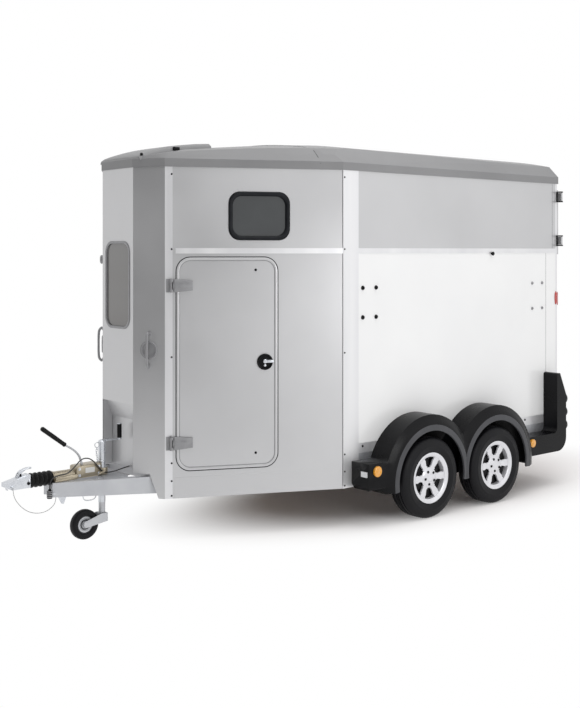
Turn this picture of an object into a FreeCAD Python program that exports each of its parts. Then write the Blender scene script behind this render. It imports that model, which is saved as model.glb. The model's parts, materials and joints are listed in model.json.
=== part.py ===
import FreeCAD, Part
import math
import os
import re

# A twin-axle double horse trailer: a box body with a tapered front, a groom's door on the left,
# a front unloading ramp on the right, and a rear ramp under two top doors.
# The frame: +X forwards to the coupling, +Y to the left, +Z up, and the origin on the ground
# under the middle of the whole trailer.

# Driving sizes, in millimetres and degrees
SIZES = {
    # plan of the body, outside
    "rear_run": 2240,
    "taper_start": 206,
    "taper_angle": 25.3,
    "half_width": 925,
    "corner_half": 396,
    "nose_half": 200,
    "chamfer_run": 125,
    "wall": 24,
    "pilaster_width": 147,
    "pilaster_proud": 3,
    # heights of the body
    "skirt_low": 281,
    "panel_low": 577,
    "floor_low": 508,
    "floor_thick": 28,
    "door_low": 463,
    "door_high": 1885,
    "waist_low": 1911,
    "waist_high": 1948,
    "eave": 2490,
    "fascia": 55,
    "fascia_proud": 8,
    "hip_rise": 208,
    "hip_inset": 155,
    "rear_hip_share": 0.4,
    "crown_middle": 2757,
    "front_top": 2552,
    "front_slope_start": 950,
    "front_slope_top": 2650,
    "bend_start": 100,
    "front_fall": 7.1,
    "rear_fall": 0.7,
    "roof_skin": 8,
    "roof_seam": 349,
    # doors and ramps
    "leaf": 24,
    "closing_gap": 6,
    "door_rear": 467,
    "door_front": 1161,
    "door_radius": 100,
    "door_pin": 1197,
    "door_pin_out": 22,
    "ramp_rear": 250,
    "rear_leaf": 30,
    "rear_gap": 5,
    "ramp_inset": 45,
    "ramp_top": 1886,
    "ramp_bottom": 446,
    "ramp_pin_height": 434,
    "top_door_low": 1900,
    "top_door_high": 2440,
    "top_pin_out": 33,
    "side_door_low": 1960,
    "side_door_high": 2452,
    # windows
    "window_rear": 379,
    "window_front": 809,
    "window_low": 2000,
    "window_high": 2331,
    "window_radius": 80,
    "frame_wide": 30,
    "nose_window_half": 157,
    "nose_window_low": 1400,
    "nose_window_high": 1994,
    "nose_frame": 14,
    # recess in the nose
    "recess_low": 440,
    "recess_high": 895,
    "recess_deep": 75,
    "skirt_slant_in": 303,
    "skirt_slant_out": 357,
    # wheels and axles
    "tyre_radius": 292,
    "tyre_width": 165,
    "tyre_shoulder": 20,
    "rim_radius": 165,
    "flange_radius": 181,
    "wheel_out": 118,
    "front_hub": -483,
    "rear_hub": -1217,
    "axle_beam": 60,
    "spring_leaf": 36,
    "spring_arch": 60,
    "spring_end": 30,
    "spring_shoe": 40,
    # mudguards
    "guard_radius": 455,
    "guard_opening": 343,
    "guard_out": 210,
    "guard_skin": 10,
    "guard_lip": 388,
    "guard_shoulder": 35,
    "guard_low": 238,
    "lamp_box_front": 126,
    "lamp_box_in": 30,
    "lamp_box_chamfer": 28,
    "lamp_box_low": 279,
    "lamp_box_high": 462,
    "pod_out": 137,
    "pod_crest": 40,
    # chassis
    "rail_low": 420,
    "rail_half": 500,
    "rail_wide": 60,
    "arm_tip_x": 1971,
    "arm_tip_half": 62,
    "arm_angle": 21.5,
    "arm_low": 291,
    "saddle_lift": 20,
    "saddle_thick": 14,
    "arm_tip_low": 328,
    # coupling and jockey wheel
    "ball_x": 2170,
    "ball_z": 446,
    "ball_radius": 25.2,
    "head_front": 2280,
    "jockey_x": 1572,
    "jockey_trail": 135,
    "jockey_radius": 100,
    "hinge_strap": 90,
    "strap_thick": 10,
    "strap_taper": 13,
    "strap_rear": 1053,
    "strap_low": 604,
    "strap_high": 1653,
    "knuckle": 11,
    "eye_radius": 8,
    "eye_long": 100,
    "eye_side": 620,
    "ramp_pin_z": 448,
    "ramp_pin_out": 14,
    "rear_pin_out": 20,
    "batten": 5,
    "top_pin_reach": 46,
    "top_hinge_low": 1969,
    "top_hinge_high": 2336,
    "opening_inset": 70,
    "opening_high": 2446,
    "lock_along": 556,
    "lock_height": 1175,
    "lock_radius": 55,
    "holdback_x": -1388,
    "holdback_z": 1907,
    "dish_radius": 61,
    "handle_z": 1268,
    "handle_half": 121,
    "handle_wide": 20,
    "handle_out": 42,
    "pin_radius": 4,
    "chamfer_turn": 32.17,
    "recess_ledge": 120,
    "vent_half": 250,
    "vent_rear": 786,
    "vent_middle": 986,
    "vent_front": 1138,
    "vent_rear_top": 2681,
    "vent_middle_top": 2655,
    "vent_front_top": 2612,
    "camber_radius": 4000,
    "spokes": 6,
    "window_in": 74,
    "window_out": 148,
    "disc_out": 42,
    "hub_radius": 60,
    "stub_radius": 20,
    "drum_inset": 20,
    "drum_radius": 115,
    "spring_half": 310,
    "pod_low": 288,
    "pod_shelf": 440,
    "pod_face": -2056,
    "pod_high": 925,
    "pod_visor_low": 745,
    "lamp_radius": 37,
    "tail_top": 690,
    "tail_middle": 600,
    "tail_bottom": 500,
    "lamp_deep": 28,
    "pod_inset": 62,
    "pod_round": 110,
    "post_lamp_low": 1467,
    "post_lamp_high": 1589,
    "post_lamp_wide": 36,
    "post_lamp_deep": 16,
    "post_margin": 20,
    "reflector_front_x": 52,
    "reflector_rear_x": -1726,
    "reflector_drop": 16,
    "reflector_z": 408,
    "rail_front": 900,
    "arm_wide": 50,
    "jockey_plate_half": 170,
    "jockey_tube_radius": 24,
    "jockey_tube_low": 232,
    "jockey_tube_high": 639,
    "crank_reach": 136,
    "handle_length": 110,
    "king_radius": 12,
    "king_play": 0.05,
    "king_length": 60,
    "fork_low": 105,
    "fork_high": 160,
    "fork_end": 21,
    "jockey_wheel_wide": 56,
    "jockey_rim_radius": 70,
    "housing_rear": 1601,
    "housing_front": 1952,
    "housing_radius": 36,
    "bellows_radius": 48,
    "bellows_deep": 9,
    "bellows_folds": 5,
    "head_rear": 2115,
    "head_half": 38,
    "head_high": 46,
    "release_top": 534,
    "head_tip": 6,
    "housing_step": 1790,
    "housing_step_high": 498,
    "housing_rear_high": 506,
    "housing_step_half": 48,
    "cable_front": 2240,
    "cable_rear": 1940,
    "cable_side": 46,
    "cable_high": 426,
    "cable_low": 327,
    "cable_radius": 2,
    "lead_radius": 4,
    "lead_side": 50,
    "plug_x": 1992,
    "plug_side": 60,
    "plug_high": 385,
    "plug_low": 325,
    "plug_radius": 17,
    "plug_ring": 12,
    "lead_start_z": 456,
    "gland_radius": 9,
    "gland_long": 12,
    "lever_x": 1740,
    "lever_side": 14,
    "lever_bend": 560,
    "lever_top": 656,
    "grip_radius": 15,
    "grip_length": 215,
    "grip_rise": 37,
    "bar_radius": 22,
    "bar_height": 1460,
    "breast_x": -50,
    "breech_x": -1970,
    "partition_thick": 40,
    "partition_low": 760,
    "partition_high": 2040,
    "partition_round": 150,
    "plate_wide": 520,
    "plate_low": 566,
    "plate_high": 120,
}

TAPER_RUN = "((half_width - corner_half) / tan(taper_angle * 1 deg))"
WALL_RUN = "((half_width - corner_half) / sin(taper_angle * 1 deg))"
WHEEL_SIDE = "(half_width + wheel_out)"
GUARD_SIDE = "(half_width + guard_out)"
POD_SIDE = "(half_width + pod_out)"
DRUM_SIDE = "(half_width - drum_inset)"
RAMP_HALF = "(half_width - ramp_inset)"
OPENING_HALF = "(half_width - opening_inset)"
TOP_PIN_SIDE = "(half_width + top_pin_out)"
CORNER_X = f"(taper_start + {TAPER_RUN})"
NOSE_X = f"({CORNER_X} + chamfer_run)"

doc = FreeCAD.newDocument("horse_trailer")
sheet = doc.addObject("Spreadsheet::Sheet", "dims")
for row, (name, number) in enumerate(SIZES.items(), start=1):
    sheet.set(f"A{row}", name)
    sheet.set(f"B{row}", str(number))
    sheet.setAlias(f"B{row}", name)
doc.recompute()

nodes = {}
V = FreeCAD.Vector
UP = V(0, 0, 1)


def formula(text):
    """Point each of the sheet's words in a formula at its cell."""
    return re.sub(r"[a-z]\w*", lambda word: ("dims." if word[0] in SIZES else "") + word[0], str(text))


def size(text):
    """The value of a formula in the sheet's words."""
    value = sheet.evalExpression(formula(text))
    return float(getattr(value, "Value", value))


def keep(name, piece):
    """Give a finished piece its label and its place among the nodes."""
    piece.Label = name
    nodes[name] = piece
    return piece


def place(piece, x=0, y=0, z=0, axis=UP, angle=0):
    """Bind a piece's placement: a turn about an axis, then a shift."""
    piece.Placement = FreeCAD.Placement(V(0, 0, 0), FreeCAD.Rotation(axis, 1))
    for letter, text in zip("xyz", (x, y, z)):
        piece.setExpression(f"Placement.Base.{letter}", formula(text))
    piece.setExpression("Placement.Rotation.Angle", formula(angle))
    return piece


def box(name, x, y, z):
    """A box from its low and high formulas along each axis."""
    piece = doc.addObject("Part::Box", name)
    for letter, side, (low, high) in zip("xyz", ("Length", "Width", "Height"), (x, y, z)):
        piece.setExpression(side, formula(f"({high}) - ({low})"))
        piece.setExpression(f"Placement.Base.{letter}", formula(low))
    return piece


def cylinder(name, radius, x, y, z, along, length):
    """A cylinder from its start point along +X, +Y or +Z."""
    piece = doc.addObject("Part::Cylinder", name)
    piece.setExpression("Radius", formula(radius))
    piece.setExpression("Height", formula(length))
    axis, angle = {"X": (V(0, 1, 0), 90), "Y": (V(1, 0, 0), -90), "Z": (UP, 0)}[along]
    return place(piece, x, y, z, axis, angle)


def loop(points):
    """Lines and tangent arcs through (x, y) or (x, y, corner radius) points."""
    corners = []
    for index, point in enumerate(points):
        here = V(size(point[0]), size(point[1]))
        radius = size(point[2]) if len(point) > 2 else 0
        before = points[index - 1]
        after = points[(index + 1) % len(points)]
        back = (V(size(before[0]), size(before[1])) - here).normalize()
        ahead = (V(size(after[0]), size(after[1])) - here).normalize()
        if radius <= 0:
            corners.append((here, None, here))
            continue
        half = back.getAngle(ahead) / 2
        reach = radius / math.tan(half)
        centre = here + (back + ahead).normalize() * (radius / math.sin(half))
        middle = centre + (here - centre).normalize() * radius
        corners.append((here + back * reach, middle, here + ahead * reach))
    edges = []
    for index, (start, middle, end) in enumerate(corners):
        if middle:
            edges.append(Part.Arc(start, middle, end))
        following = corners[(index + 1) % len(corners)][0]
        if (following - end).Length > 1e-6:
            edges.append(Part.LineSegment(end, following))
    return edges


def rectangle(x_low, x_high, y_low, y_high, radius=0):
    """The four corners of a rectangle, each with a corner radius."""
    return [(x_low, y_low, radius), (x_high, y_low, radius),
            (x_high, y_high, radius), (x_low, y_high, radius)]


def sketch_on(body, plane, outlines, offset):
    """A sketch on one of a body's own planes, moved along its normal."""
    sketch = body.newObject("Sketcher::SketchObject", f"{body.Name}_outline")
    role = [part for part in body.Origin.OriginFeatures if part.Role == f"{plane}_Plane"][0]
    sketch.AttachmentSupport = [(role, "")]
    sketch.MapMode = "FlatFace"
    sketch.setExpression("AttachmentOffset.Base.z", formula(offset))
    for outline in outlines:
        for edge in loop(outline):
            sketch.addGeometry(edge)
    return sketch


def plate(name, plane, low, high, *outlines):
    """A padded outline with holes, between two places along the plane's axis."""
    body = doc.addObject("PartDesign::Body", name)
    offset = f"-({high})" if plane == "XZ" else low
    sketch = sketch_on(body, plane, outlines, offset)
    pad = body.newObject("PartDesign::Pad", f"{name}_pad")
    pad.Profile = sketch
    pad.setExpression("Length", formula(f"({high}) - ({low})"))
    return body


def turned(name, *outlines):
    """A body turned about the Y axis from (radius, y) outlines."""
    body = doc.addObject("PartDesign::Body", name)
    sketch = sketch_on(body, "XY", outlines, 0)
    turn = body.newObject("PartDesign::Revolution", f"{name}_turn")
    turn.Profile = sketch
    turn.ReferenceAxis = (sketch, ["V_Axis"])
    turn.Angle = 360
    return body


def fused(name, *pieces):
    """Several pieces made one."""
    piece = doc.addObject("Part::MultiFuse", name)
    piece.Shapes = list(pieces)
    return piece


def cut(name, base, *tools):
    """A piece with others taken out of it."""
    tool = tools[0] if len(tools) == 1 else fused(f"{name}_tools", *tools)
    piece = doc.addObject("Part::Cut", name)
    piece.Base = base
    piece.Tool = tool
    return piece


def common(name, base, tool):
    """What two pieces share."""
    piece = doc.addObject("Part::Common", name)
    piece.Base = base
    piece.Tool = tool
    return piece


def grouped(name, *pieces):
    """Pieces of one node that don't touch."""
    piece = doc.addObject("Part::Compound", name)
    piece.Links = list(pieces)
    return piece


def mirrored(name, source):
    """The right-hand twin of a left-hand piece."""
    piece = doc.addObject("Part::Mirroring", name)
    piece.Source = source
    piece.Normal = V(0, 1, 0)
    return piece


def both_sides(name, piece):
    """Keep a left-hand piece and its right-hand twin as two nodes."""
    keep(f"{name}_left", piece)
    keep(f"{name}_right", mirrored(f"{name}_right", piece))


def paired(name, piece):
    """Keep a left-hand piece and its right-hand twin as one node."""
    keep(name, grouped(name, piece, mirrored(f"{name}_twin", piece)))


def on_taper(piece):
    """Stand a piece on the left tapered wall: its X along the wall, its Y outwards."""
    return place(piece, "taper_start", "half_width", 0, UP, "-taper_angle")


# Flat side walls, their waist rails and the pilasters at the start of the taper
SKIN_IN = "half_width - wall"
PANEL_FRONT = "taper_start - pilaster_width"
paired("side_lower_panels", box("side_lower", ("-rear_run + wall", PANEL_FRONT),
                             (SKIN_IN, "half_width"), ("panel_low", "waist_low")))
paired("side_upper_panels", box("side_upper", ("-rear_run + wall", PANEL_FRONT),
                             (SKIN_IN, "half_width"), ("waist_high", "eave")))
waist_rail = box("waist_rail", ("-rear_run + wall", PANEL_FRONT),
                 (SKIN_IN, "half_width + pilaster_proud"), ("waist_low", "waist_high"))
taper_rail = box("taper_rail", (0, "door_front + closing_gap"), (0, "pilaster_proud"),
                 ("waist_low", "waist_high"))
paired("waist_rails", grouped("waist_rails_left", waist_rail,
                              on_taper(grouped("taper_rail_left", taper_rail))))
PILASTER_IN = "taper_start - wall * tan(taper_angle * 1 deg)"
paired("pilasters", plate("pilaster", "XY", "skirt_low", "eave", [
    (PANEL_FRONT, "half_width + pilaster_proud"), ("taper_start", "half_width + pilaster_proud"),
    ("taper_start", "half_width"), (PILASTER_IN, SKIN_IN), (PANEL_FRONT, SKIN_IN)]))

# Tapered front walls, in the wall's own frame: along the wall from the pilaster, then up
CORNER_POST_START = "door_front + closing_gap"
LEFT_POST_START = "(door_front + closing_gap + post_margin)"
left_sheet = plate(
    "taper_wall_left", "XZ", "-wall", 0,
    rectangle(0, LEFT_POST_START, "skirt_low", "eave"),
    rectangle("door_rear - closing_gap", "door_front + closing_gap", "door_low - closing_gap",
              "door_high + closing_gap", "door_radius"),
    rectangle("window_rear", "window_front", "window_low", "window_high", "window_radius"))
left_wall = on_taper(left_sheet)
right_sheet = plate("taper_wall_right_flat", "XZ", "-wall", 0, [
    (0, "skirt_low"), (CORNER_POST_START, "skirt_low"), (CORNER_POST_START, "door_low - closing_gap"),
    ("ramp_rear - closing_gap", "door_low - closing_gap"),
    ("ramp_rear - closing_gap", "door_high + closing_gap"),
    (CORNER_POST_START, "door_high + closing_gap"),
    (CORNER_POST_START, "side_door_low - closing_gap"),
    ("ramp_rear - closing_gap", "side_door_low - closing_gap"),
    ("ramp_rear - closing_gap", "side_door_high + closing_gap"),
    (CORNER_POST_START, "side_door_high + closing_gap"), (CORNER_POST_START, "eave"), (0, "eave")])
right_wall = mirrored("taper_wall_right", on_taper(right_sheet))
keep("taper_walls", grouped("taper_walls", left_wall, right_wall))

# Corner posts where the tapered walls meet the chamfered nose
CHAMFER_TURN = "(atan((corner_half - nose_half) / chamfer_run) - taper_angle * 1 deg)"


def corner_post(name, start):
    """The post between a tapered wall and the chamfer, from a place along the wall."""
    return on_taper(plate(name, "XY", "skirt_low", "eave", [
        (start, 0), (WALL_RUN, 0), (f"{WALL_RUN} - wall * sin{CHAMFER_TURN}", f"-wall * cos{CHAMFER_TURN}"),
        (start, "-wall")]))


keep("corner_posts", grouped("corner_posts", corner_post("corner_post_left", LEFT_POST_START), mirrored(
    "corner_post_twin", corner_post("corner_post_right", CORNER_POST_START))))


def inside(along, corner_x, corner_y):
    """A point one wall inside a corner of the nose, given the turn of its bisector."""
    return (f"{corner_x} - wall * ({along[0]})", f"{corner_y} - wall * ({along[1]})")


# Nose: two chamfers and a flat front in one sheet, with a tall window and a low recess
CHAMFER = math.atan2(size("corner_half - nose_half"), size("chamfer_run"))
CHAMFER_OUT = (math.sin(CHAMFER), math.cos(CHAMFER))
NOSE_OUT = ((1, math.tan((math.pi / 2 - CHAMFER) / 2)))
nose_left = [(CORNER_X, "corner_half"), (NOSE_X, "nose_half")]
nose_inner = [inside(NOSE_OUT, NOSE_X, "nose_half"), inside(CHAMFER_OUT, CORNER_X, "corner_half")]
nose_right = [(x, f"-({y})") for x, y in reversed(nose_left)]
nose_inner_right = [(x, f"-({y})") for x, y in reversed(nose_inner)]
nose_plan = [nose_left[0], nose_left[1], nose_right[0], nose_right[1],
             nose_inner_right[0], nose_inner_right[1], nose_inner[0], nose_inner[1]]
nose_sheet = plate("nose_sheet", "XY", "skirt_low", "eave", nose_plan)
nose_hole = plate("nose_hole", "YZ", f"{NOSE_X} - 2 * wall", f"{NOSE_X} + wall", rectangle(
    "-nose_window_half", "nose_window_half", "nose_window_low", "nose_window_high", "window_radius"))
recess_hole = plate("recess_hole", "YZ", f"{CORNER_X} - 2 * wall", f"{NOSE_X} + wall", [
    ("-nose_half", "recess_high"), ("-nose_half", "recess_low"), ("-skirt_slant_in", "recess_low"),
    ("-skirt_slant_out", "skirt_low"), ("skirt_slant_out", "skirt_low"),
    ("skirt_slant_in", "recess_low"), ("nose_half", "recess_low"), ("nose_half", "recess_high")])
nose = keep("nose", cut("nose", nose_sheet, nose_hole, recess_hole))


RECESS_BACK = f"{NOSE_X} - recess_deep"
recess_panel = plate("recess_panel", "XZ", "-nose_half", "nose_half", [
    (f"{NOSE_X} - wall", "recess_high"), (RECESS_BACK, "recess_high - recess_ledge"),
    (RECESS_BACK, "recess_low"), (f"{RECESS_BACK} - roof_skin", "recess_low"),
    (f"{RECESS_BACK} - roof_skin", "recess_high"), (f"{NOSE_X} - wall - roof_skin", "recess_high + wall"),
    (f"{NOSE_X} - wall", "recess_high + wall")])
lead_gland = cylinder("lead_gland", "gland_radius", RECESS_BACK, "lead_side", "lead_start_z", "X",
                      "gland_long")
keep("nose_recess", fused("nose_recess", cut("recess_sheet", recess_panel, nose), lead_gland))

# Roof: a hipped shell over the whole plan, cambered across and falling towards the nose


def plan_outline(inset, rear_share=1):
    """The body's plan, moved inwards by a distance, and by a share of it at the rear."""
    half = [(size(x), size(y)) for x, y in [
        ("-rear_run", "half_width"), ("taper_start", "half_width"),
        (CORNER_X, "corner_half"), (NOSE_X, "nose_half")]]
    corners = half + [(x, -y) for x, y in reversed(half)]
    moved = []
    for index, here in enumerate(corners):
        lines = []
        for start, end in ((corners[index - 1], here), (here, corners[(index + 1) % len(corners)])):
            run = math.dist(start, end)
            out = ((start[1] - end[1]) / run, (end[0] - start[0]) / run)
            shift = inset * rear_share if out[0] < -0.9 and inset > 0 else inset
            lines.append((out, out[0] * here[0] + out[1] * here[1] - shift))
        (first, reach), (second, other) = lines
        slant = first[0] * second[1] - first[1] * second[0]
        moved.append(((reach * second[1] - other * first[1]) / slant,
                      (first[0] * other - second[0] * reach) / slant))
    return moved


def hipped(name, rings):
    """A stack of plan outlines, each ring an (inset, height), joined by flat faces."""
    sketches = []
    for number, (inset, height) in enumerate(rings):
        sketch = doc.addObject("Sketcher::SketchObject", f"{name}_ring{number}")
        for edge in loop(plan_outline(size(inset), size("rear_hip_share") if number > 1 else 1)):
            sketch.addGeometry(edge)
        sketch.setExpression("Placement.Base.z", formula(height))
        sketches.append(sketch)
    loft = doc.addObject("Part::Loft", name)
    loft.Sections = sketches
    loft.Solid = True
    loft.Ruled = True
    return loft


def camber(name, drop, fall):
    """A long cylinder whose top line passes over the bend of the roof, falling forwards by an angle."""
    radius, tilt = f"(camber_radius - {drop})", f"({fall} * 1 deg)"
    back = "(rear_run + bend_start + 4 * wall)"
    piece = cylinder(name, radius, 0, 0, 0, "X", f"{back} + {NOSE_X}")
    return place(piece, f"bend_start - {radius} * sin({tilt}) - {back} * cos({tilt})", 0,
                 f"crown_middle - {drop} - {radius} * cos({tilt}) + {back} * sin({tilt})", V(0, 1, 0),
                 f"90 + {fall}")


def under_crown(name, piece, drop):
    """What lies under the camber before and behind the bend, and under the slope over the nose."""
    rear = common(f"{name}_rear", piece, camber(f"{name}_rear_camber", drop, "(0 - rear_fall)"))
    front = common(f"{name}_front", rear, camber(f"{name}_front_camber", drop, "front_fall"))
    slope = plate(f"{name}_slope", "XZ", "-half_width - wall", "half_width + wall", [
        ("-rear_run - wall", "crown_middle + wall"), ("bend_start", "crown_middle + wall"),
        ("front_slope_start", f"front_slope_top - {drop}"), (f"{NOSE_X} + wall", f"front_top - {drop}"),
        (f"{NOSE_X} + wall", "eave - wall"), ("-rear_run - wall", "eave - wall")])
    return common(f"{name}_under", front, slope)


roof_outside = under_crown("roof_outside", hipped("roof_block", [
    ("-fascia_proud", "eave"), ("-fascia_proud", "eave + fascia"),
    ("hip_inset", "eave + fascia + hip_rise")]), 0)
roof_inside = under_crown("roof_inside", hipped("roof_void", [
    ("wall", "eave - 1"), ("wall", "eave + fascia - roof_skin"),
    ("hip_inset + roof_skin", "eave + fascia + hip_rise - roof_skin")]), "roof_skin")
roof = cut("roof", roof_outside, roof_inside)
SIDES = ("-half_width - wall", "half_width + wall")
OVER = ("eave - wall", "crown_middle + wall")
keep("roof_rear", common("roof_rear", roof, box("rear_half", ("-rear_run - wall", "roof_seam"), SIDES, OVER)))
keep("roof_front", common("roof_front", roof, box(
    "front_half", ("roof_seam", f"{NOSE_X} + wall"), SIDES, OVER)))
vent_block = plate("vent_block", "XZ", "-vent_half", "vent_half", [
    ("vent_rear", "eave + fascia"), ("vent_front", "eave + fascia"), ("vent_front", "vent_front_top"),
    ("vent_middle", "vent_middle_top"), ("vent_rear", "vent_rear_top")])
keep("roof_vent", cut("roof_vent", vent_block, roof_outside))

# Rear frame, floor and the bolted strips under the side panels
keep("rear_frame", plate("rear_frame", "YZ", "-rear_run", "-rear_run + wall",
                         rectangle("-half_width", "half_width", "floor_low", "eave"),
                         rectangle(f"-{OPENING_HALF}", OPENING_HALF, "floor_low + floor_thick",
                                   "opening_high", "hinge_strap")))
floor_sheet = plate("floor_sheet", "XY", "floor_low", "floor_low + floor_thick", plan_outline(size("wall")))
keep("floor", cut("floor", floor_sheet, box("recess_room", (f"{RECESS_BACK} - roof_skin", NOSE_X), (
    "-corner_half", "corner_half"), ("rail_low", "recess_high"))))
paired("floor_strips", box("floor_strip", ("-rear_run + wall", PANEL_FRONT),
                           (SKIN_IN, "half_width"), ("floor_low", "panel_low")))

# Galvanised chassis: side rails, main rails and cross members
chassis_parts = [
    box("side_rail_left", ("-rear_run", PANEL_FRONT), ("half_width - rail_wide", "half_width"),
        ("rail_low", "floor_low")),
    box("side_rail_right", ("-rear_run", PANEL_FRONT), ("-half_width", "-half_width + rail_wide"),
        ("rail_low", "floor_low")),
    box("main_rail_left", ("-rear_run", "rail_front"), ("rail_half - rail_wide / 2",
        "rail_half + rail_wide / 2"), ("rail_low", "floor_low")),
    box("main_rail_right", ("-rear_run", "rail_front"), ("-rail_half - rail_wide / 2",
        "-rail_half + rail_wide / 2"), ("rail_low", "floor_low")),
]
# cross members: name, rear face, half of the length
for member, rear_face, half_length in (
        ("rear_member", "-rear_run", "half_width"),
        ("middle_member", "(front_hub + rear_hub) / 2", "half_width"),
        ("pilaster_member", f"{PANEL_FRONT} - rail_wide", "half_width"),
        ("front_member", "rail_front - rail_wide", "rail_half"),
        ("nose_member", f"{CORNER_X} - rail_wide", "corner_half - rail_wide")):
    chassis_parts.append(box(member, (rear_face, f"{rear_face} + rail_wide"),
                             (f"-({half_length})", half_length), ("rail_low", "floor_low")))
keep("chassis", fused("chassis", *chassis_parts))

# Drawbar: two arms that meet at the coupling, a cross plate with the jockey clamp, and the stepped
# overrun housing that lies in them
ARM_RUN = "((rail_half - arm_tip_half) / sin(arm_angle * 1 deg))"
arm = plate("arm", "XZ", 0, "arm_wide", [
    (0, "arm_tip_low"), (ARM_RUN, "arm_low"), (ARM_RUN, "rail_low"), (0, "rail_low")])
place(arm, "arm_tip_x", "arm_tip_half", 0, UP, "180 - arm_angle")
housing_step = plate("housing_block", "XZ", "-housing_step_half", "housing_step_half", [
    ("housing_rear", "rail_low"), ("housing_step", "rail_low"), ("housing_step", "housing_step_high"),
    ("housing_rear", "housing_rear_high")])
overrun_housing = keep("overrun_housing", fused("overrun_housing", cylinder(
    "overrun_tube", "housing_radius", "housing_rear", 0, "ball_z", "X", "housing_front - housing_rear"),
    housing_step, box("overrun_base", ("housing_rear", "housing_front"), ("-arm_tip_half", "arm_tip_half"),
                      ("rail_low", "ball_z - housing_radius / 2"))))
clamp_bore = cylinder("clamp_bore", "jockey_tube_radius", "jockey_x", 0, "arm_low", "Z", "rail_low")
cross_plate = box("cross_plate", ("jockey_x - 2 * arm_wide", "jockey_x + arm_wide"),
                  ("-jockey_plate_half", "jockey_plate_half"), ("rail_low - roof_skin", "rail_low"))
clamp_ring = cylinder("clamp_ring", "jockey_tube_radius + roof_skin", "jockey_x", 0,
                      "rail_low - jockey_tube_radius", "Z", "3 * jockey_tube_radius")
bellows_seat = cylinder("bellows_seat", "bellows_radius", "housing_front", 0, "ball_z", "X", "2 * arm_wide")
cable_hook = box("cable_hook", ("cable_rear - strap_thick", "cable_rear + strap_thick"),
                 ("cable_side - strap_thick / 2", "cable_side + strap_thick / 2"),
                 ("cable_low", "cable_low + 2 * strap_thick"))
plug_saddle = box("plug_saddle", ("arm_tip_x - 2 * strap_thick", "plug_x"),
                  ("plug_side - strap_thick", "plug_side + strap_thick"),
                  ("plug_low + saddle_lift", "plug_low + saddle_lift + saddle_thick"))
plug_room = cylinder("plug_room", "plug_radius", "plug_x", "plug_side", "plug_low", "Z",
                     "plug_high - plug_low")
drawbar_frame = fused("drawbar_frame", arm, mirrored("arm_right", arm), cross_plate, clamp_ring,
                      cable_hook, plug_saddle)
keep("drawbar", cut("drawbar", drawbar_frame, clamp_bore, overrun_housing,
                    bellows_seat, plug_room))

# Bellows and ball head
BELLOWS_RUN = "(head_rear - housing_front)"
BELLOWS_STEP = f"{BELLOWS_RUN} / (2 * bellows_folds - 1)"
bellows_outline = [(0, 0)]
for fold in range(int(2 * size("bellows_folds")) - 1):
    depth = "bellows_radius - bellows_deep" if fold % 2 else "bellows_radius"
    bellows_outline += [(depth, f"{BELLOWS_STEP} * {fold}"), (depth, f"{BELLOWS_STEP} * {fold + 1}")]
bellows_outline.append((0, BELLOWS_RUN))
keep("bellows", place(turned("bellows", bellows_outline), "housing_front", 0, "ball_z", UP, -90))
# The head: a pressed body round the ball, a bent release handle over it, and the cable's lug
head_block = plate("head_block", "XZ", "-head_half", "head_half", [
    ("head_rear", "ball_z - head_half"), ("head_front - head_half", "ball_z - head_half"),
    ("head_front", "ball_z - head_half / 2"), ("head_front", "ball_z + head_tip"),
    ("head_rear", "ball_z + head_high")])
release_handle = plate("release_handle", "XZ", "-handle_wide / 2", "handle_wide / 2", [
    ("ball_x + handle_wide", "ball_z"), ("ball_x + handle_wide / 2", "release_top - handle_wide"),
    ("ball_x - 2 * handle_wide", "release_top"), ("head_rear - handle_wide", "release_top"),
    ("head_rear - handle_wide", "release_top - strap_thick"),
    ("ball_x - 2 * handle_wide", "release_top - strap_thick"),
    ("ball_x - handle_wide / 2", "release_top - handle_wide - strap_thick"),
    ("ball_x - strap_thick / 2", "ball_z")])
cable_lug = box("cable_lug", ("cable_front - strap_thick", "cable_front + strap_thick"),
                ("head_half", "cable_side + strap_thick / 2"), ("cable_high", "cable_high + strap_thick"))
ball_bore = cylinder("ball_bore", "ball_radius", "ball_x", 0, "ball_z - 2 * head_half", "Z",
                     "2 * head_half + ball_radius / 2")
head_body = fused("head_body", head_block, release_handle, cable_lug)
keep("coupling_head", cut("coupling_head", head_body, ball_bore))
LEVER_SIDE = ("lever_side", "lever_side + roof_skin")
lever_blade = plate("lever_blade", "XZ", *LEVER_SIDE, [
    ("lever_x - lever_side", "ball_z"), ("lever_x + lever_side", "ball_z"),
    ("lever_x + 2 * lever_side", "lever_bend"), ("lever_x + 9 * lever_side", "lever_top - lever_side"),
    ("lever_x + 8.4 * lever_side", "lever_top + lever_side / 3"), ("lever_x", "lever_bend + lever_side")])
lever = keep("handbrake_lever", cut("handbrake_lever", lever_blade, overrun_housing))
grip = cylinder("grip_bar", "grip_radius", 0, 0, 0, "X", "grip_length")
place(grip, "lever_x + 8.6 * lever_side", "lever_side + roof_skin / 2", "lever_top - lever_side / 2",
      V(0, 1, 0), "90 - grip_rise")
keep("handbrake_grip", cut("handbrake_grip", grip, lever))

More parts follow.
